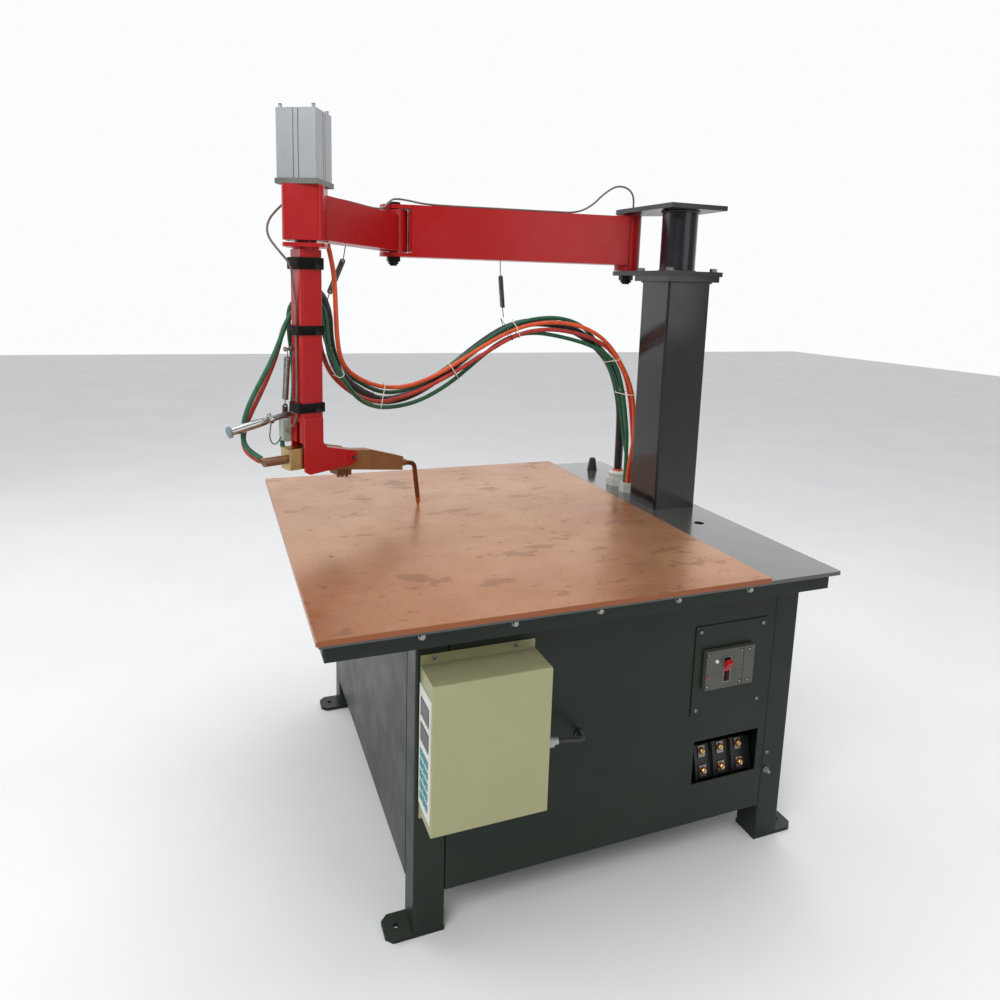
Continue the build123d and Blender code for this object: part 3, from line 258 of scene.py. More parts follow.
def worn_metal(name, colour, rough, metallic=1.0, grain=(1, 1, 14), grain_scale=60, vary=0.18, bump=0.12):
    """Bare metal with drawn or machined grain and cloudy tarnish."""
    made = Shader(name)
    tarnish = made.noise(9, 6, 0.6)
    made.colour(made.ramp(tarnish, [(0.3, shade(colour, 1 - vary)), (0.72, shade(colour, 1 + vary))]))
    lines = made.noise(grain_scale, 3, 0.5, grain)
    made.roughness(lines, rough - 0.06, rough + 0.1)
    made.bump(lines, bump)
    made.fixed(Metallic=metallic)
    return made.material


def copper_sheet():
    """Rolled copper work table: pale pink tan, stained and scratched, bright orange on its cut edge."""
    made = Shader("copper_sheet")
    broad = made.noise(2.2, 5, 0.55)
    base = made.ramp(broad, [(0.34, srgb(172, 118, 80)), (0.5, srgb(184, 134, 96)), (0.68, srgb(198, 152, 116))])
    film = made.ramp(made.noise(7, 9, 0.74, (1.0, 0.5, 1)), [(0.5, (0, 0, 0, 1)), (0.72, (0.42, 0.42, 0.42, 1))])
    filmed = made.mix(film, base, srgb(148, 98, 68))
    runs = made.noise(13, 8, 0.66, (1.0, 0.55, 1))
    rims = made.ramp(runs, [
        (0.60, (0, 0, 0, 1)), (0.606, (0.8, 0.8, 0.8, 1)), (0.622, (0.4, 0.4, 0.4, 1)), (0.74, (0.5, 0.5, 0.5, 1)),
    ])
    stained = made.mix(rims, filmed, srgb(120, 82, 58))
    drops = made.noise(46, 2, 0.4)
    mask = made.ramp(drops, [(0.715, (0, 0, 0, 1)), (0.725, (0.6, 0.6, 0.6, 1))])
    spotted = made.mix(mask, stained, srgb(112, 76, 54))
    normal = made.nodes.new("ShaderNodeNewGeometry").outputs["Normal"]
    split = made.nodes.new("ShaderNodeSeparateXYZ")
    made.link(normal, split.inputs["Vector"])
    level = made.ramp(split.outputs["Z"], [(0.3, (0, 0, 0, 1)), (0.7, (1, 1, 1, 1))])
    made.colour(made.mix(level, srgb(146, 86, 54), spotted))
    scratches = made.noise(34, 4, 0.6, (1, 22, 1))
    made.roughness(runs, 0.22, 0.38)
    made.bump(scratches, 0.05, 0.0004)
    made.fixed(Metallic=0.55)
    return made.material


def rubber(name, colour, rough=0.5, sheen=0.15):
    """Extruded rubber or plastic jacket with bloom and scuffs."""
    made = Shader(name)
    bloom = made.noise(30, 5, 0.6)
    made.colour(made.ramp(bloom, [(0.35, shade(colour, 0.82)), (0.72, shade(colour, 1.28))]))
    made.roughness(made.noise(80, 3), rough - 0.08, rough + 0.14)
    made.bump(made.noise(700, 2), 0.12, 0.0004)
    made.fixed(Sheen_Weight=sheen, Sheen_Roughness=0.4)
    return made.material


def moulded(name, colour, rough=0.38):
    """Moulded plastic with a fine spark-eroded texture."""
    made = Shader(name)
    made.colour(made.ramp(made.noise(14, 3), [(0.3, shade(colour, 0.92)), (0.7, shade(colour, 1.07))]))
    made.roughness(made.noise(50, 2), rough, rough + 0.1)
    made.bump(made.noise(1400, 2), 0.1, 0.0003)
    return made.material


def woven(name, colour):
    """Hook-and-loop tape: a tight weave with a soft nap."""
    made = Shader(name)
    wave = made.nodes.new("ShaderNodeTexWave")
    wave.inputs["Scale"].default_value = 420
    wave.inputs["Distortion"].default_value = 2.5
    made.link(made.coordinates, wave.inputs["Vector"])
    made.colour(made.ramp(wave.outputs["Fac"], [(0.2, shade(colour, 0.6)), (0.8, shade(colour, 1.4))]))
    made.bump(wave.outputs["Fac"], 0.5, 0.0006)
    made.fixed(Roughness=0.9, Sheen_Weight=0.05, Specular_IOR_Level=0.2)
    return made.material


def laminated():
    """Stacked transformer sheets: fine level lines."""
    made = Shader("laminated_steel")
    lines = made.noise(300, 2, 0.4, (0.05, 1, 0.05))
    made.colour(made.ramp(lines, [(0.35, srgb(70, 70, 74)), (0.65, srgb(112, 112, 116))]))
    made.bump(lines, 0.5)
    made.fixed(Metallic=0.6, Roughness=0.5)
    return made.material


LOOKS = {
    "green_grey_paint": gloss_paint("green_grey_enamel", srgb(25, 35, 25), 0.34, coat=0.03, shine=0.26),
    "charcoal_paint": gloss_paint("charcoal_enamel", srgb(30, 29, 31), 0.12, coat=0.4, shine=0.4),
    "blue_black_paint": gloss_paint("blue_black_enamel", srgb(20, 23, 29), 0.2, coat=0.15),
    "red_paint": gloss_paint("red_enamel", srgb(172, 17, 18), 0.26, 0.06, coat=0.12, shine=0.35),
    "dark_steel": gloss_paint("dark_deck_enamel", srgb(46, 50, 46), 0.14, coat=0.9),
    "copper": copper_sheet(),
    "dark_copper": worn_metal("dark_copper", srgb(126, 84, 66), 0.42, 0.85),
    "bronze": worn_metal("cast_bronze", srgb(154, 110, 70), 0.46, 0.7, (1, 1, 1), 120, 0.22, 0.3),
    "brass": worn_metal("machined_brass", srgb(200, 176, 122), 0.3),
    "zinc_steel": worn_metal("zinc_plate", srgb(150, 150, 146), 0.34),
    "bearing_steel": worn_metal("ground_steel", srgb(170, 170, 174), 0.22),
    "chrome": worn_metal("chrome_plate", srgb(184, 184, 184), 0.12, 1.0, (1, 1, 1), 30, 0.08, 0.03),
    "aluminium": worn_metal("anodised_aluminium", srgb(168, 172, 174), 0.42, 0.45, (1, 1, 0.04), 500, 0.05),
    "pale_plastic": moulded("pale_nylon", srgb(196, 198, 190), 0.3),
    "olive_paint": gloss_paint("olive_beige_enamel", srgb(160, 159, 118), 0.36, 0.05, 0.15),
    "white_plastic": moulded("white_plastic", srgb(222, 222, 214)),
    "board_green": moulded("circuit_board", srgb(40, 96, 62)),
    "black_plastic": moulded("black_plastic", srgb(30, 30, 32)),
    "grey_plastic": moulded("grey_plastic", srgb(78, 79, 70), 0.45),
    "red_plastic": moulded("red_plastic", srgb(186, 30, 28), 0.28),
    "green_grey_plastic": moulded("pale_green_plastic", srgb(164, 178, 166), 0.3),
    "black_rubber": rubber("black_rubber", srgb(30, 30, 32), 0.42),
    "green_rubber": rubber("green_rubber", srgb(24, 92, 62)),
    "red_rubber": rubber("red_rubber", srgb(178, 52, 40)),
    "orange_plastic": rubber("orange_tube", srgb(216, 84, 34), 0.34),
    "black_fabric": woven("black_tape", srgb(12, 12, 13)),
    "core_steel": laminated(),
    "winding_tape": woven("varnished_tape", srgb(150, 98, 54)),
}
TEAL = moulded("teal_keys", srgb(60, 140, 142), 0.4)
DISPLAY = moulded("dark_display", srgb(22, 26, 30), 0.12)
GREY_SHEATH = rubber("grey_sheath", srgb(104, 96, 90), 0.34)
BLACK_OXIDE = worn_metal("black_oxide", srgb(34, 34, 36), 0.36, 0.7)
SPRING_STEEL = worn_metal("oiled_spring_steel", srgb(104, 98, 86), 0.34)
ELECTRODE_COPPER = worn_metal("heat_tinted_copper", srgb(122, 74, 48), 0.32, 0.9, (1, 1, 1), 90, 0.3)
TIP_COPPER = worn_metal("bright_tip_copper", srgb(186, 104, 70), 0.3, 0.9)
NATURAL_NYLON = moulded("natural_nylon", srgb(226, 220, 202), 0.35)
ORANGE_SEAL = rubber("orange_seal", srgb(206, 74, 40))
# Near-black painted shade for hollows drawn flat: screw slots, the sinks round the isolator screws, the cover seams
# and the lever bolt's socket.
PAINTED_SLOT_SHADE = moulded("slot_shadow", srgb(14, 14, 15), 0.7)

OWN_LOOKS = {
    "rear_pivot_bolt": BLACK_OXIDE,
    "mid_pivot_bolt": BLACK_OXIDE,
    "electrode": ELECTRODE_COPPER,
    "electrode_tip": TIP_COPPER,
    "lever_pivot_bolt": LOOKS["red_paint"],
    "cylinder_base_plate": worn_metal("milled_plate", srgb(120, 122, 116), 0.44, 0.5),
    "water_terminal": worn_metal("tarnished_rod", srgb(140, 106, 82), 0.4, 0.7, (1, 1, 1), 120, 0.3),
}
for entry in frame["record"]["subparts"]:
    materials = NODES[entry["node"]].data.materials
    materials.clear()
    materials.append(OWN_LOOKS.get(entry["node"], LOOKS[entry["material_slot"]]))


# ---- mesh helpers ----
def piece(name, mesh, material, body, smooth=True):
    """Object from a bmesh, finished, riding on a body unless body is None."""
    data = bpy.data.meshes.new(name)
    mesh.normal_update()
    mesh.to_mesh(data)
    mesh.free()
    data.materials.append(material)
    data.polygons.foreach_set("use_smooth", [smooth] * len(data.polygons))
    obj = bpy.data.objects.new(name, data)
    bpy.context.scene.collection.objects.link(obj)
    if body:
        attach(obj, body)
    return obj


def sweep(mesh, line, radius, sides=12):
    """Closed tube along a line; radius is a number or a function of the share of the way along."""
    size = radius if callable(radius) else (lambda share: radius)
    tangents = [(b - a).normalized() for a, b in zip([line[0]] + line[:-1], line[1:] + [line[-1]])]
    tangents[0] = (line[1] - line[0]).normalized()
    side = tangents[0].orthogonal().normalized()
    rings = []
    for step, (spot, tangent) in enumerate(zip(line, tangents)):
        side = (side - tangent * side.dot(tangent)).normalized()
        other = tangent.cross(side)
        r = size(step / (len(line) - 1))
        angles = [2 * pi * k / sides for k in range(sides)]
        rings.append([mesh.verts.new(spot + (side * cos(a) + other * sin(a)) * r) for a in angles])
    for lower, upper in zip(rings, rings[1:]):
        for k in range(sides):
            mesh.faces.new((lower[k], lower[(k + 1) % sides], upper[(k + 1) % sides], upper[k]))
    mesh.faces.new(list(reversed(rings[0])))
    mesh.faces.new(rings[-1])


def lathe(mesh, base, axis, profile, sides=32):
    """Solid of revolution: profile is a list of (distance along the axis, radius) in metres."""
    axis = axis.normalized()
    side = axis.orthogonal().normalized()
    other = axis.cross(side)
    rings = []
    for along, r in profile:
        centre = base + axis * along
        angles = [2 * pi * k / sides for k in range(sides)]
        rings.append([mesh.verts.new(centre + (side * cos(a) + other * sin(a)) * r) for a in angles])
    for lower, upper in zip(rings, rings[1:]):
        for k in range(sides):
            mesh.faces.new((lower[k], lower[(k + 1) % sides], upper[(k + 1) % sides], upper[k]))
    mesh.faces.new(list(reversed(rings[0])))
    mesh.faces.new(rings[-1])


def brick(mesh, low, high, place=WORLD, soften=0.0006):
    """Box between two corners of a frame in mm, with softened edges."""
    made = bmesh.ops.create_cube(mesh, size=1.0)["verts"]
    for vert in made:
        spot = [low[i] if vert.co[i] < 0 else high[i] for i in range(3)]
        vert.co = place(*spot)
    edges = list({edge for vert in made for edge in vert.link_edges})
    bmesh.ops.bevel(mesh, geom=edges, offset=soften, segments=2, profile=0.5, affect="EDGES")


# ---- hoses and cables ----
def smooth_line(points):
    """Points along the smooth spline that has these control points."""
    data = bpy.data.curves.new("route", "CURVE")
    data.dimensions = "3D"
    data.resolution_u = 10
    spline = data.splines.new("NURBS")
    spline.points.add(len(points) - 1)
    for spot, point in zip(spline.points, points):
        spot.co = (*point, 1)
    spline.order_u = 3
    spline.use_endpoint_u = True
    obj = bpy.data.objects.new("route", data)
    bpy.context.scene.collection.objects.link(obj)
    bpy.context.view_layer.update()
    mesh = bpy.data.meshes.new_from_object(obj)
    line = [vert.co.copy() for vert in mesh.vertices]
    bpy.data.objects.remove(obj)
    bpy.data.meshes.remove(mesh)
    return line


def nearest(line, spot):
    return min(range(len(line)), key=lambda k: (line[k] - spot).length)


def hose(node, points, radius, material, splits, bodies):
    """One hose in stretches sharing one smooth line: a stretch on one body rides on it, one between two neighbouring
    bodies is left unattached.
    """
    line = smooth_line(points)
    marks = [0] + [nearest(line, spot) for spot in splits] + [len(line) - 1]
    for count, (first, last) in enumerate(zip(marks, marks[1:])):
        stretch = line[first:last + 1]
        mesh = bmesh.new()
        sweep(mesh, stretch, radius, 18)
        name = f"{node}_stretch_{count + 1}"
        pair = bodies[count]
        obj = piece(name, mesh, material, None if len(pair) == 2 else pair[0])
        if len(pair) == 2:
            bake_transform(obj)
        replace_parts(obj, node)
    return line


def metres(points):
    return [Vector(point) * MM for point in points]


POWER_CABLE = [
    (-284, 441, 764), (-284, 441, 880), (-277, 436, 970), (-268, 428, 1080), (-258, 380, 1215),
    (-256, 307, 1290), (-261, 211, 1345), (-271, 95, 1362), (-281, 2, 1343), (-293, -89, 1285),
    (-311, -205, 1186), (-326, -298, 1122), (-318, -392, 1102), (-250, -470, 1136), (-174, -545, 1192),
    (-128, -582, 1256), (-109, -597, 1318), (-109, -598, 1384), (-163, -613, 1440), (-238, -633, 1440),
    (-292, -648, 1384), (-291, -647, 1290), (-284, -645, 1190), (-266, -640, 1100), (-226, -625, 1020),
    (-176, -606, 968), (-130, -588, 949), (-101.5, -577.1, 947.6),
]
GREEN_HOSE = [
    (-200, 434, 770), (-200, 434, 838), (-222, 435, 905), (-247, 431, 985), (-246, 414, 1080),
    (-231, 380, 1165), (-229, 345, 1232), (-230, 299, 1298), (-231, 244, 1352), (-237, 164, 1376),
    (-247, 81, 1371), (-258, -5, 1347), (-270, -97, 1286), (-282, -192, 1217), (-294, -270, 1165),
    (-306, -345, 1134), (-276, -420, 1138), (-214, -512, 1190), (-166, -574, 1248), (-143, -602, 1312),
    (-136, -610, 1372), (-117, -634, 1405), (-95, -676, 1405), (-80, -706, 1372),
]
RED_HOSE = [
    (-186, 434, 770), (-186, 434, 840), (-183, 436, 915), (-188, 432, 990), (-191, 424, 1065),
    (-191, 412, 1130), (-193, 392, 1195), (-199, 353, 1258), (-206, 298, 1301), (-217, 211, 1329),
    (-230, 109, 1340), (-242, 10, 1319), (-256, -101, 1249), (-268, -196, 1189), (-280, -280, 1145),
    (-298, -350, 1116), (-257, -425, 1109), (-188, -502, 1141), (-146, -548, 1174), (-129, -590, 1216),
    (-141, -614, 1280), (-152, -618, 1351), (-136, -647, 1384), (-113, -687, 1384), (-97, -716, 1351),
]
RETURN_HOSE = [
    (-200, 420, 770), (-200, 420, 836), (-203, 422, 900), (-208, 424, 980), (-212, 414, 1060),
    (-212, 396, 1150), (-209, 360, 1238), (-218, 280, 1286), (-242, 170, 1315), (-255, 68, 1328),
    (-265, -20, 1303), (-275, -98, 1240), (-286, -185, 1163), (-297, -278, 1108), (-300, -352, 1089),
    (-240, -430, 1097), (-166, -498, 1130), (-118, -546, 1184), (-92, -580, 1240), (-79, -605, 1306),
]
AIR_HOSE = [
    (-186, 420, 770), (-186, 420, 838), (-176, 421, 905), (-171, 428, 985), (-174, 426, 1060),
    (-174, 410, 1150), (-182, 364, 1240), (-192, 311, 1306), (-203, 243, 1346), (-218, 158, 1362),
    (-232, 74, 1356), (-242, -7, 1331), (-254, -102, 1276), (-266, -197, 1213), (-279, -282, 1168),
    (-286, -352, 1150), (-244, -436, 1162), (-166, -523, 1207), (-118, -562, 1252), (-92, -576, 1312),
    (-86, -580, 1388), (-88, -582, 1460), (-92, -588, 1520), (-90, -600, 1566),
]
GREEN_TAIL = [
    (-48, 58, 1308), (-77.5, 60, 1246), (-112, 63, 1188), (-138, 69, 1134), (-151, 69, 1086),
    (-156, 56, 1050), (-148.1, 33, 1028.2), (-132.2, 5.8, 1014.5),
]
RED_TAIL = [
    (-42, 78, 1286), (-66, 80, 1226), (-92, 83, 1172), (-119, 85, 1122), (-140, 84, 1078),
    (-150, 71, 1042), (-148.1, 45, 1019.2), (-132.2, 17.8, 1005.5),
]
RETURN_TAIL = [
    (64, 12, 1393), (41, 34.5, 1425), (9, 65.5, 1425), (-6, 87, 1393), (0, 96, 1330),
    (10, 96, 1258), (12, 95, 1184), (4, 94, 1120), (-20, 88, 1066), (-46.5, 67, 1027),
    (-46, 33, 1009.6),
]
ARM_TOP = 1704.3
SIGNAL_ON_MAIN = [
    (760, -40, 1724.3), (762, -42, 1756), (744, -43, 1786), (702, -41, 1795), (660, -37, 1768),
    (622, -34, 1728), (572, -31, ARM_TOP), (492, -33, ARM_TOP), (406, -31, ARM_TOP), (322, -33, ARM_TOP),
    (238, -31, ARM_TOP), (156, -33, ARM_TOP), (86, -30, ARM_TOP + 2), (38, -14, 1717),
]
SIGNAL_ON_FRONT = [
    (16, 12, 1719), (54, 20, 1706), (88, 22, 1681), (140, 20, 1678), (205, 22, 1681.2),
    (270, 18, 1684.4), (316, -6, 1688), (345, -46, 1688), (374, -72, 1684),
]
SIGNAL_AT_HEAD = [(-118, -724, 1652), (-88, -752, 1618), (-50, -758, 1580), (-28, -734, 1544)]
SIGNAL_ON_TUBE = [
    (-44, -3, 1508), (-41, -3, 1466), (-34, -4, 1424), (-33.3, -5, 1364), (-33.3, -3, 1300),
    (-33.3, -5, 1232), (-33.3, -3, 1168), (-33.3, -4, 1118), (-39, 6, 1092), (-45, 22, 1080),
    (-46, 37, 1075),
]
HANDLE_LEAD = [
    (-83, 46, 1092.6), (-87, 47, 1070), (-85, 49, 1050), (-75, 51, 1036), (-61, 51, 1039), (-53.3, 50, 1055),
]
CONTROLLER_CABLE = [
    (597, -205.2, 471), (597, -176, 468), (590, -146, 458), (572, -124, 444), (546, -115, 433),
    (520, -116, 429),
]

ALONG_ARMS = [("bench", "main_arm"), ("main_arm", "front_arm"), ("front_arm", "tool"), ("tool", "lever")]
MAIN_RING = Vector((-0.268, -0.015, 1.335))
FRONT_RING = Vector((-0.115, -0.595, 1.30))

POWER_LINE = hose(
    "power_cable", metres(POWER_CABLE), 0.014, LOOKS["black_rubber"],
    [MAIN_RING, FRONT_RING], ALONG_ARMS[:3],
)
GREEN_LINE = hose(
    "green_hose", metres(GREEN_HOSE) + [TOOL(*spot) for spot in GREEN_TAIL], 0.0065,
    LOOKS["green_rubber"], [MAIN_RING, FRONT_RING, TOOL(-112, 63, 1188)], ALONG_ARMS,
)
RED_LINE = hose(
    "red_hose", metres(RED_HOSE) + [TOOL(*spot) for spot in RED_TAIL], 0.0065,
    LOOKS["red_rubber"], [MAIN_RING, FRONT_RING, TOOL(-92, 83, 1172)], ALONG_ARMS,
)
RETURN_LINE = hose(
    "return_hose", metres(RETURN_HOSE) + [TOOL(*spot) for spot in RETURN_TAIL], 0.0065,
    LOOKS["green_rubber"], [MAIN_RING, FRONT_RING, TOOL(12, 95, 1184)], ALONG_ARMS,
)
AIR_LINE = hose(
    "air_hose", metres(AIR_HOSE), 0.0065, LOOKS["orange_plastic"],
    [MAIN_RING], ALONG_ARMS[:2],
)
SIGNAL_POINTS = [MAIN(*spot) for spot in SIGNAL_ON_MAIN] + [FRONT(*spot) for spot in SIGNAL_ON_FRONT]
SIGNAL_POINTS += metres(SIGNAL_AT_HEAD) + [TOOL(*spot) for spot in SIGNAL_ON_TUBE]
SIGNAL_LINE = hose(
    "signal_cable", SIGNAL_POINTS, 0.003, GREY_SHEATH,
    [MAIN(572, -31, ARM_TOP), MAIN(86, -30, ARM_TOP), FRONT(88, 22, 1681), FRONT(316, -6, 1688), TOOL(-44, -3, 1508)],
    [ALONG_ARMS[0], ("main_arm",), ALONG_ARMS[1], ("front_arm",), ALONG_ARMS[2], ("tool",)],
)
hose(
    "handle_lead", [TOOL(*spot) for spot in HANDLE_LEAD], 0.0015, LOOKS["black_rubber"],
    [], [("tool",)],
)
hose(
    "controller_cable", metres(CONTROLLER_CABLE), 0.005, LOOKS["black_rubber"],
    [], [("bench",)],
)


# ---- springs ----
def coil_spring(name, node, top, coil_top, coil_bottom, bottom, radius, wire, turns, body, look=SPRING_STEEL):
    """Close-wound tension spring with straight end wires bent into its axis."""
    axis = coil_bottom - coil_top
    side = axis.orthogonal().normalized()
    other = axis.normalized().cross(side)
    line = [top, top.lerp(coil_top, 0.8)]
    steps = turns * 14
    for step in range(steps + 1):
        angle = 2 * pi * step * turns / steps
        grow = min(1.0, step / 8, (steps - step) / 8)
        centre = coil_top + axis * (step / steps)
        line.append(centre + (side * cos(angle) + other * sin(angle)) * (radius - wire) * max(grow, 0.12))
    line += [bottom.lerp(coil_bottom, 0.8), bottom]
    mesh = bmesh.new()
    sweep(mesh, line, wire, 8)
    obj = piece(name, mesh, look, body)
    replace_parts(obj, node)
    return obj


coil_spring(
    "main_arm_coil", "spring_main_arm", Vector((-0.278, -0.033, 1.548)), Vector((-0.277, -0.031, 1.503)),
    Vector((-0.276, -0.021, 1.402)), Vector((-0.276, -0.017, 1.372)), 0.0082, 0.0014, 30, "main_arm",
)
coil_spring(
    "front_arm_coil", "spring_front_arm", Vector((-0.157, -0.541, 1.5665)), Vector((-0.149, -0.549, 1.529)),
    Vector((-0.108, -0.594, 1.437)), Vector((-0.101, -0.601, 1.415)), 0.0082, 0.0014, 30, "front_arm",
)
coil_spring(
    "handle_coil", "spring_handle", TOOL(-45, 20, 1292), TOOL(-44, 24, 1272),
    TOOL(-43, 42, 1156), TOOL(-42, 45, 1147), 0.0088, 0.0015, 36, "tool", LOOKS["zinc_steel"],
)


def spring_anchor_bolt():
    mesh = bmesh.new()
    lathe(mesh, TOOL(-30, 20, 1292), TOOL(-31, 0, 0) - TOOL(-30, 0, 0), [(0, 0.004), (0.022, 0.004)])
    lathe(mesh, TOOL(-33, 20, 1292), TOOL(-31, 0, 0) - TOOL(-30, 0, 0), [(0, 0.0066), (0.005, 0.0066)], 6)
    lathe(mesh, TOOL(-50, 20, 1292), TOOL(-31, 0, 0) - TOOL(-30, 0, 0), [(0, 0.0066), (0.005, 0.0066)], 6)
    obj = piece("spring_anchor_bolt", mesh, LOOKS["zinc_steel"], "tool", False)
    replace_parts(obj, "spring_handle")


spring_anchor_bolt()


# ---- ties and rings on the hoses ----
def outline_of(spots):
    """Convex outline of points in a plane, in order."""
    spots = sorted(set(spots))

    def half(run):
        kept = []
        for spot in run:
            while len(kept) > 1 and (
                (kept[-1][0] - kept[-2][0]) * (spot[1] - kept[-2][1])
                - (kept[-1][1] - kept[-2][1]) * (spot[0] - kept[-2][0])
            ) <= 0:
                kept.pop()
            kept.append(spot)
        return kept[:-1]

    return half(spots) + half(spots[::-1])


def band(name, spot, members, thick, material, hook=None):
    """Closed loop pulled round several hoses at one place."""
    middle = Vector(spot) * MM
    line = members[0][0]
    k = nearest(line, middle)
    axis = (line[min(k + 2, len(line) - 1)] - line[max(k - 2, 0)]).normalized()
    side = axis.orthogonal().normalized()
    other = axis.cross(side)
    rim = []
    for member, radius in members:
        centre = member[nearest(member, line[k])]
        flat = centre - line[k] - axis * (centre - line[k]).dot(axis)
        for step in range(16):
            angle = 2 * pi * step / 16
            reach = radius + thick
            rim.append((flat.dot(side) + reach * cos(angle), flat.dot(other) + reach * sin(angle)))
    if hook is not None:
        flat = hook - line[k] - axis * (hook - line[k]).dot(axis)
        rim += [(flat.dot(side) + dx, flat.dot(other) + dy) for dx, dy in ((0.001, 0), (-0.001, 0), (0, 0.001))]
    loop = [line[k] + side * x + other * y for x, y in outline_of(rim)]
    fine = []
    for first, second in zip(loop, loop[1:] + loop[:1]):
        fine += [first.lerp(second, step / 3) for step in range(3)]
    mesh = bmesh.new()
    sweep(mesh, fine + [fine[0]], thick, 8)
    if hook is None:
        top = max(fine, key=lambda spot: spot.z)
        lathe(mesh, top - axis * 0.002, axis, [(0, 0.0028), (0.0045, 0.0028)], 8)
        lathe(mesh, top, Vector((0, 0, 1)) + axis * 0.3, [(0, 0.0013), (0.010, 0.0010)], 6)
    obj = piece(name, mesh, material, None)
    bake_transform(obj)


BUNDLE = [(GREEN_LINE, 0.0065), (RED_LINE, 0.0065), (RETURN_LINE, 0.0065), (AIR_LINE, 0.0065), (POWER_LINE, 0.014)]
REAR_ENDS = (GREEN_LINE[0], GREEN_LINE[nearest(GREEN_LINE, MAIN_RING)])
FRONT_ENDS = (REAR_ENDS[1], GREEN_LINE[nearest(GREEN_LINE, FRONT_RING)])
for number, (spot, chosen, pair, ends) in enumerate((
    ((-182, 361, 1243), BUNDLE[:4], ALONG_ARMS[0], REAR_ENDS),
    ((-174, 414, 1128), BUNDLE[:4], ALONG_ARMS[0], REAR_ENDS),
    ((-241, 20, 1334), BUNDLE[:4], ALONG_ARMS[0], REAR_ENDS),
    ((-265, -192, 1216), BUNDLE, ALONG_ARMS[1], FRONT_ENDS),
    ((-254, -415, 1159), BUNDLE, ALONG_ARMS[1], FRONT_ENDS),
    ((-130, -560, 1236), BUNDLE[:3], ALONG_ARMS[1], FRONT_ENDS),
)):
    band(f"hose_tie_{number + 1}", spot, chosen, 0.0016, NATURAL_NYLON)
band(
    "main_arm_ring", (-275, -14, 1343), BUNDLE, 0.0011, SPRING_STEEL,
    Vector((-0.276, -0.017, 1.372)),
)


# ---- weld beads ----
def bead(name, line, size, material, body):
    """Rippled weld bead along a joint."""
    mesh = bmesh.new()
    sweep(mesh, line, lambda share: size * (1 + 0.16 * sin(share * len(line) * 2.1)), 8)
    return piece(name, mesh, material, body)


def arc(place, centre, radius, start, stop, z, steps=40):
    spots = []
    for step in range(steps + 1):
        angle = radians(start + (stop - start) * step / steps)
        spots.append(place(centre[0] + radius * cos(angle), centre[1] + radius * sin(angle), z))
    return spots


def straight(first, last, steps=30):
    return [first.lerp(last, step / steps) for step in range(steps + 1)]


RED, BLUE, CHARCOAL = LOOKS["red_paint"], LOOKS["blue_black_paint"], LOOKS["charcoal_paint"]
PIPE = Frame(COLUMN, (1, 0))
bead("weld_pipe_foot", arc(PIPE, (0, 0), 55, 0, 360, 1530.5, 90), 0.0035, BLUE, "bench")
bead("weld_pipe_head", arc(PIPE, (0, 0), 55, 0, 360, 1708.5, 90), 0.0035, BLUE, "bench")
SQUARE = [(75, 75), (-75, 75), (-75, -75), (75, -75)]
for k, (corner, following) in enumerate(zip(SQUARE, SQUARE[1:] + SQUARE[:1])):
    bead(
        f"weld_column_{k + 1}", straight(PIPE(*corner, 1496.5), PIPE(*following, 1496.5)), 0.0035,
        CHARCOAL, "bench",
    )
for side in (-1, 1):
    bead(
        f"weld_rear_barrel_{side + 2}", straight(MAIN(728, side * 41, 1552), MAIN(728, side * 41, 1698)), 0.003,
        RED, "main_arm",
    )
    bead(
        f"weld_mid_barrel_{side + 2}", straight(FRONT(33, side * 34, 1568), FRONT(33, side * 34, 1667)), 0.003,
        RED, "front_arm",
    )


# ---- hook-and-loop straps round the tool ----
def strap(name, low, high):
    """Soft tape loop with a lifted end."""
    outline = [(-40, -22), (-37, -30.5), (-27, -32.3), (24, -32.3), (31.4, -31), (32.4, -23), (32.4, 23),
               (31.4, 31), (24, 32.3), (-27, 32.3), (-37, 30.5), (-40, 22)]
    mesh = bmesh.new()
    loops = []
    for z in (low, (low + high) / 2, high):
        swell = 0.7 if z not in (low, high) else 0.0
        outer = [mesh.verts.new(TOOL(x * (1 + swell / 60), y * (1 + swell / 60), z)) for x, y in outline]
        inner = [mesh.verts.new(TOOL(x * 0.93, y * 0.93, z)) for x, y in outline]
        loops.append((outer, inner))
    count = len(outline)
    for (outer, inner), (outer_up, inner_up) in zip(loops, loops[1:]):
        for k in range(count):
            n = (k + 1) % count
            mesh.faces.new((outer[k], outer[n], outer_up[n], outer_up[k]))
            mesh.faces.new((inner[n], inner[k], inner_up[k], inner_up[n]))
    for (outer, inner), flip in ((loops[0], True), (loops[-1], False)):
        for k in range(count):
            n = (k + 1) % count
            face = (outer[k], inner[k], inner[n], outer[n])
            mesh.faces.new(face if flip else tuple(reversed(face)))
    brick(mesh, (4, -34.4, low + 1), (31, -32.2, high - 1), TOOL, 0.0008)
    obj = piece(name, mesh, LOOKS["black_fabric"], "tool")
    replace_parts(obj, "hook_loop_straps")


for number, (low, high) in enumerate(((1497, 1527), (1330, 1354), (1127, 1152))):
    strap(f"tape_strap_{number + 1}", low, high)


# ---- screw heads ----
def screw_head(mesh, base, axis, radius, height):
    """Domed pan head."""
    profile = [(0, radius), (height * 0.35, radius), (height * 0.75, radius * 0.86), (height, radius * 0.5)]
    lathe(mesh, base, axis, profile, 24)


def cross_recess(mesh, base, axis, size):
    """Crossed slots painted near-black as the shade in the recess, standing a hair above the head."""
    side = Vector((0, 0, 1)) if abs(axis.z) < 0.5 else Vector((1, 0, 0))
    other = axis.cross(side)
    for first, second in ((side, other), (other, side)):
        spots = [first * size + second * size * 0.22, first * size - second * size * 0.22,
                 -first * size - second * size * 0.22, -first * size + second * size * 0.22]
        mesh.faces.new([mesh.verts.new(base + spot) for spot in spots])


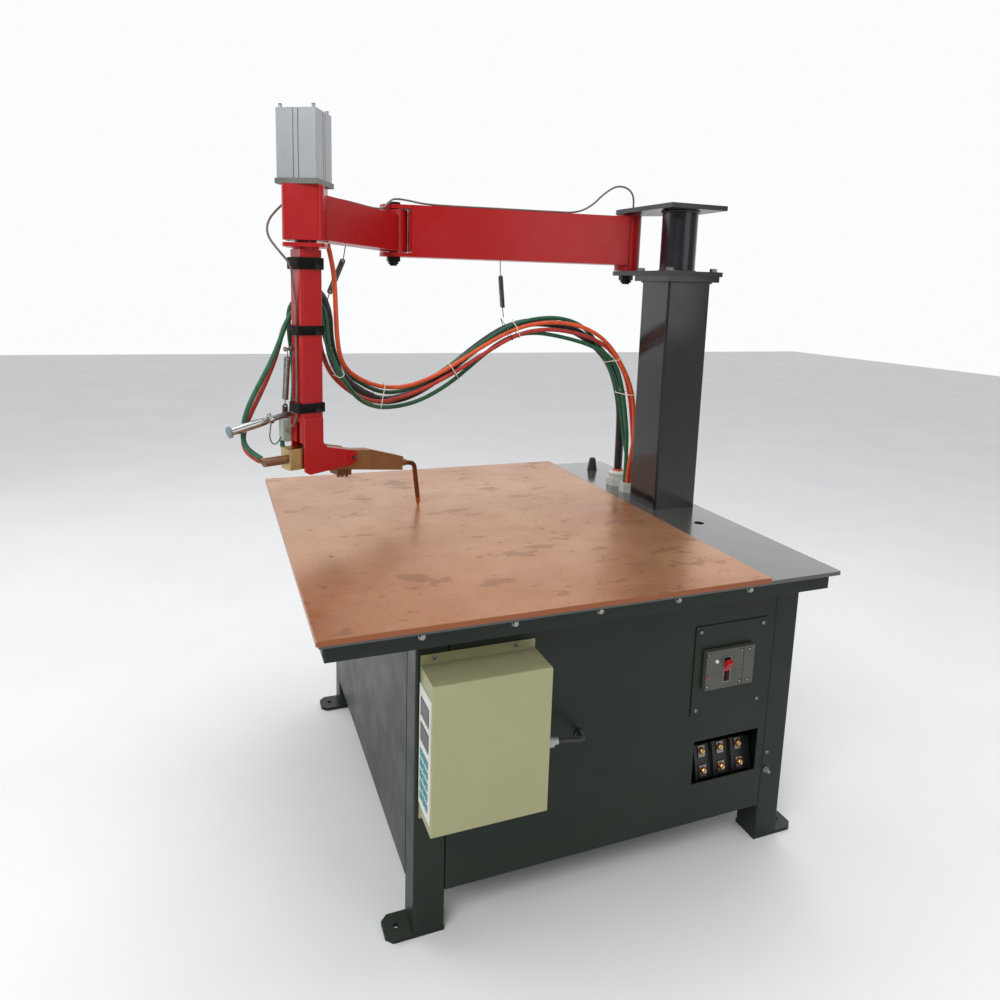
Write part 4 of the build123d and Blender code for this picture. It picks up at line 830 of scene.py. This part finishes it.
NEAR = Vector((1, 0, 0))
CASE_LOW, CASE_HIGH = (corner * 1000 for corner in map(Vector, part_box("controller_case")))
BODY_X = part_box("access_plate")[0][0] * 1000


def panel_fixings():
    heads, slots = bmesh.new(), bmesh.new()
    spots = [(y, z, 2.0) for y in (-476, -286) for z in (CASE_LOW[2] + 9, CASE_HIGH[2] - 9)]
    spots += [(y, z, 3.0) for y in (213, 403) for z in (427, 637)]
    spots += [(458, 259, 0.0)]
    for y, z, proud in spots:
        base = Vector((BODY_X + proud, y, z)) * MM
        screw_head(heads, base, NEAR, 0.005, 0.0028)
        cross_recess(slots, base + NEAR * 0.00285, NEAR, 0.0024)
    lathe(heads, Vector((BODY_X, 460, 207)) * MM, NEAR, [(0, 0.009), (0.002, 0.009)])
    lathe(heads, Vector((BODY_X + 2, 460, 207)) * MM, NEAR, [(0, 0.0072), (0.005, 0.0072)], 6)
    lathe(heads, Vector((BODY_X + 2, 460, 207)) * MM, NEAR, [(0, 0.004), (0.012, 0.004)])
    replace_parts(piece("panel_screw_heads", heads, LOOKS["zinc_steel"], "bench"), "panel_screws")
    # The crossed slots carry painted shade for the recesses in the screw heads.
    piece("panel_screw_slot_shade", slots, PAINTED_SLOT_SHADE, "bench", False)


def rail_fixings():
    """Hexagon bolt heads on washers along both sides of the table rail."""
    mesh = bmesh.new()
    rail = Vector(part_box("table_rails")[1]) * 1000
    for side in (-1, 1):
        for step in range(5):
            base = Vector((side * rail[0], -522 + 204 * step, 766)) * MM
            out = NEAR * side
            lathe(mesh, base, out, [(0, 0.0082), (0.0012, 0.0085), (0.002, 0.008)], 28)
            lathe(mesh, base + out * 0.002, out, [(0, 0.0070), (0.0046, 0.0070), (0.0056, 0.006)], 6)
    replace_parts(piece("rail_bolt_heads", mesh, LOOKS["zinc_steel"], "bench", False), "rail_bolts")


panel_fixings()
rail_fixings()


# ---- controller keypad, isolator and terminals ----
def keypad():
    face_y = CASE_LOW[1] - 2.5
    left, right = BODY_X + 8, CASE_HIGH[0] - 10
    displays, keys = bmesh.new(), bmesh.new()
    for z in (566, 508):
        brick(displays, (left + 10, face_y - 1.2, z), (right - 10, face_y + 0.5, z + 42))
    for row in range(5):
        for column in range(3):
            x = left + 10 + column * 21
            z = 372 + row * 25
            brick(keys, (x, face_y - 1.6, z), (x + 16, face_y + 0.5, z + 17))
    piece("keypad_displays", displays, DISPLAY, "bench", False)
    piece("keypad_keys", keys, TEAL, "bench", False)


def isolator_details():
    """Screws sunk in the cover corners, each in a ring of painted shade for its sink, the switch's pale surround, and
    painted shade along the seams of the cover.
    """
    face_x = 545.0
    screws, surround, seams, dot = bmesh.new(), bmesh.new(), bmesh.new(), bmesh.new()
    for y, z in ((233, 578), (331, 578), (331, 494), (233, 494), (355.5, 578), (355.5, 494)):
        # Near-black disc round each screw: painted shade in its sink.
        lathe(seams, Vector((face_x, y, z)) * MM, NEAR, [(0, 0.0052), (0.0003, 0.0052)])
        lathe(screws, Vector((face_x, y, z)) * MM, NEAR, [(0, 0.0036), (0.0007, 0.0034)])
    for low_y, high_y, low_z, high_z in (
        (278.2, 279.8, 500, 568), (298.2, 299.8, 500, 568), (278.2, 299.8, 500, 501.6), (278.2, 299.8, 566.4, 568),
    ):
        brick(surround, (face_x - 0.4, low_y, low_z), (face_x + 1.2, high_y, high_z), WORLD, 0.0003)
    # Thin near-black strips: painted shade in the cover's seams.
    for low_y, high_y, low_z, high_z in (
        (226.5, 274, 526.6, 527.2), (304, 338, 526.6, 527.2), (270, 308, 490.6, 491.3), (337.9, 339.5, 484.5, 587.5),
    ):
        brick(seams, (face_x - 0.2, low_y, low_z), (face_x + 0.15, high_y, high_z), WORLD, 0.00005)
    lathe(dot, Vector((face_x, 236, 518)) * MM, NEAR, [(0, 0.0034), (0.0012, 0.003)])
    brick(dot, (526, 281, 503), (531, 296.8, 525), WORLD, 0.0003)
    piece("isolator_screws", screws, LOOKS["zinc_steel"], "bench")
    piece("isolator_surround", surround, LOOKS["zinc_steel"], "bench", False)
    piece("isolator_painted_shade", seams, PAINTED_SLOT_SHADE, "bench", False)
    piece("isolator_dot", dot, LOOKS["red_plastic"], "bench")


def terminal_screws():
    """Clamp straps, hexagon screws and washers on the leaning terminal block."""
    lean = Vector((0.9674, 0, 0.2534))
    rise = Vector((-0.2534, 0, 0.9674))
    straps, washers, screws = bmesh.new(), bmesh.new(), bmesh.new()
    for y in (275, 333, 391):
        for x, z in ((500.4, 227.3), (487.8, 275.7)):
            base = Vector((x, y, z)) * MM
            corners = []
            for out in (0.0003, 0.0035):
                for across, up in ((-0.010, -0.016), (0.010, -0.016), (0.010, 0.013), (-0.010, 0.013)):
                    corners.append(straps.verts.new(base + lean * out + Vector((0, across, 0)) + rise * up))
            for k in range(4):
                n = (k + 1) % 4
                straps.faces.new((corners[k], corners[n], corners[n + 4], corners[k + 4]))
            straps.faces.new(corners[4:])
            straps.faces.new(corners[3::-1])
            lathe(washers, base + lean * 0.0035, lean, [(0, 0.0098), (0.0016, 0.0098)], 24)
            lathe(screws, base + lean * 0.0051, lean, [(0, 0.0072), (0.0052, 0.0072), (0.0062, 0.006)], 6)
            lathe(screws, base + lean * 0.0051, lean, [(0, 0.0036), (0.0088, 0.0034)], 16)
    piece("terminal_straps", straps, LOOKS["zinc_steel"], "bench", False)
    piece("terminal_washers", washers, ELECTRODE_COPPER, "bench", False)
    piece("terminal_screws", screws, LOOKS["brass"], "bench", False)


keypad()
isolator_details()
terminal_screws()


# ---- cable glands ----
def gland_ribs():
    """Grip ribs round the pressure nuts, and the soft seal where the cable goes in."""
    mesh, seal = bmesh.new(), bmesh.new()
    for centre, radius, low, high, count in (((-284, 441), 29.2, 819, 831, 36), ((-193, 427), 21.8, 806, 818, 28)):
        for k in range(count):
            angle = 2 * pi * k / count
            spot = Vector((centre[0] + radius * cos(angle), centre[1] + radius * sin(angle), 0))
            line = straight(Vector((spot.x, spot.y, low)) * MM, Vector((spot.x, spot.y, high)) * MM, 3)
            sweep(mesh, line, 0.0013, 6)
    lathe(seal, Vector((-284, 441, 838.6)) * MM, Vector((0, 0, 1)), [(0, 0.0196), (0.003, 0.019), (0.006, 0.0152)])
    piece("gland_grip_ribs", mesh, LOOKS["pale_plastic"], "bench")
    piece("gland_seal", seal, ORANGE_SEAL, "bench")


gland_ribs()


# ---- tool trim ----
def end_cap():
    """Pale disc on the end of the handle."""
    start, stop = TOOL(-195, 46, 1083.8), TOOL(-199, 46, 1083)
    mesh = bmesh.new()
    lathe(mesh, start, stop - start, [(-0.001, 0.0152), (0.0042, 0.0156), (0.0054, 0.0142), (0.0056, 0.004)])
    piece("handle_end_disc", mesh, moulded("blue_grey_cap", srgb(116, 130, 138), 0.3), "tool")


def cylinder_trim():
    """Nuts on the tie rods of the air cylinder."""
    nuts = bmesh.new()
    for sx in (-1, 1):
        for sy in (-1, 1):
            lathe(nuts, CYLINDER(43 * sx, 43 * sy, 1891), Vector((0, 0, 1)), [(0, 0.0052), (0.0022, 0.0046)], 6)
    piece("cylinder_nut_caps", nuts, LOOKS["zinc_steel"], "front_arm", False)


def lever_bolt_socket():
    """Socket painted near-black as the shade of its recess, and a bright pin, in the head of the lever's pivot bolt.
    """
    outward = TOOL(0, -1, 0) - TOOL(0, 0, 0)
    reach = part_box("lever_pivot_bolt")[1][0] - TOOL(113, 0, 993).x
    face = TOOL(113, 0, 993) + outward.normalized() * ((reach - 0.011 * 0.3811) / 0.9245)
    socket, pin = bmesh.new(), bmesh.new()
    # Flat near-black disc: painted shade of the bolt's socket.
    lathe(socket, face, outward, [(0, 0.0056), (0.0005, 0.0056)], 24)
    lathe(pin, face, outward, [(0, 0.0026), (0.0022, 0.0022)], 6)
    piece("lever_bolt_socket", socket, PAINTED_SLOT_SHADE, "tool", False)
    piece("lever_bolt_pin", pin, LOOKS["zinc_steel"], "tool", False)


def arm_end_wall():
    """Wall that closes the main arm's tube behind the front arm's barrel."""
    mesh = bmesh.new()
    brick(mesh, (43, -36, 1566), (60, 36, 1684), MAIN, 0.001)
    piece("main_arm_end_wall", mesh, LOOKS["red_paint"], "main_arm", False)


end_cap()
cylinder_trim()
lever_bolt_socket()
arm_end_wall()


# ---- floor ----
def floor():
    mesh = bmesh.new()
    bmesh.ops.create_grid(mesh, x_segments=1, y_segments=1, size=14)
    data = bpy.data.meshes.new("floor")
    mesh.to_mesh(data)
    mesh.free()
    look = Shader("studio_floor")
    look.colour(look.ramp(look.noise(1.5, 3), [(0.3, (0.86, 0.86, 0.87, 1)), (0.7, (0.9, 0.9, 0.9, 1))]))
    look.fixed(Roughness=0.7)
    data.materials.append(look.material)
    obj = bpy.data.objects.new("floor", data)
    bpy.context.scene.collection.objects.link(obj)


floor()
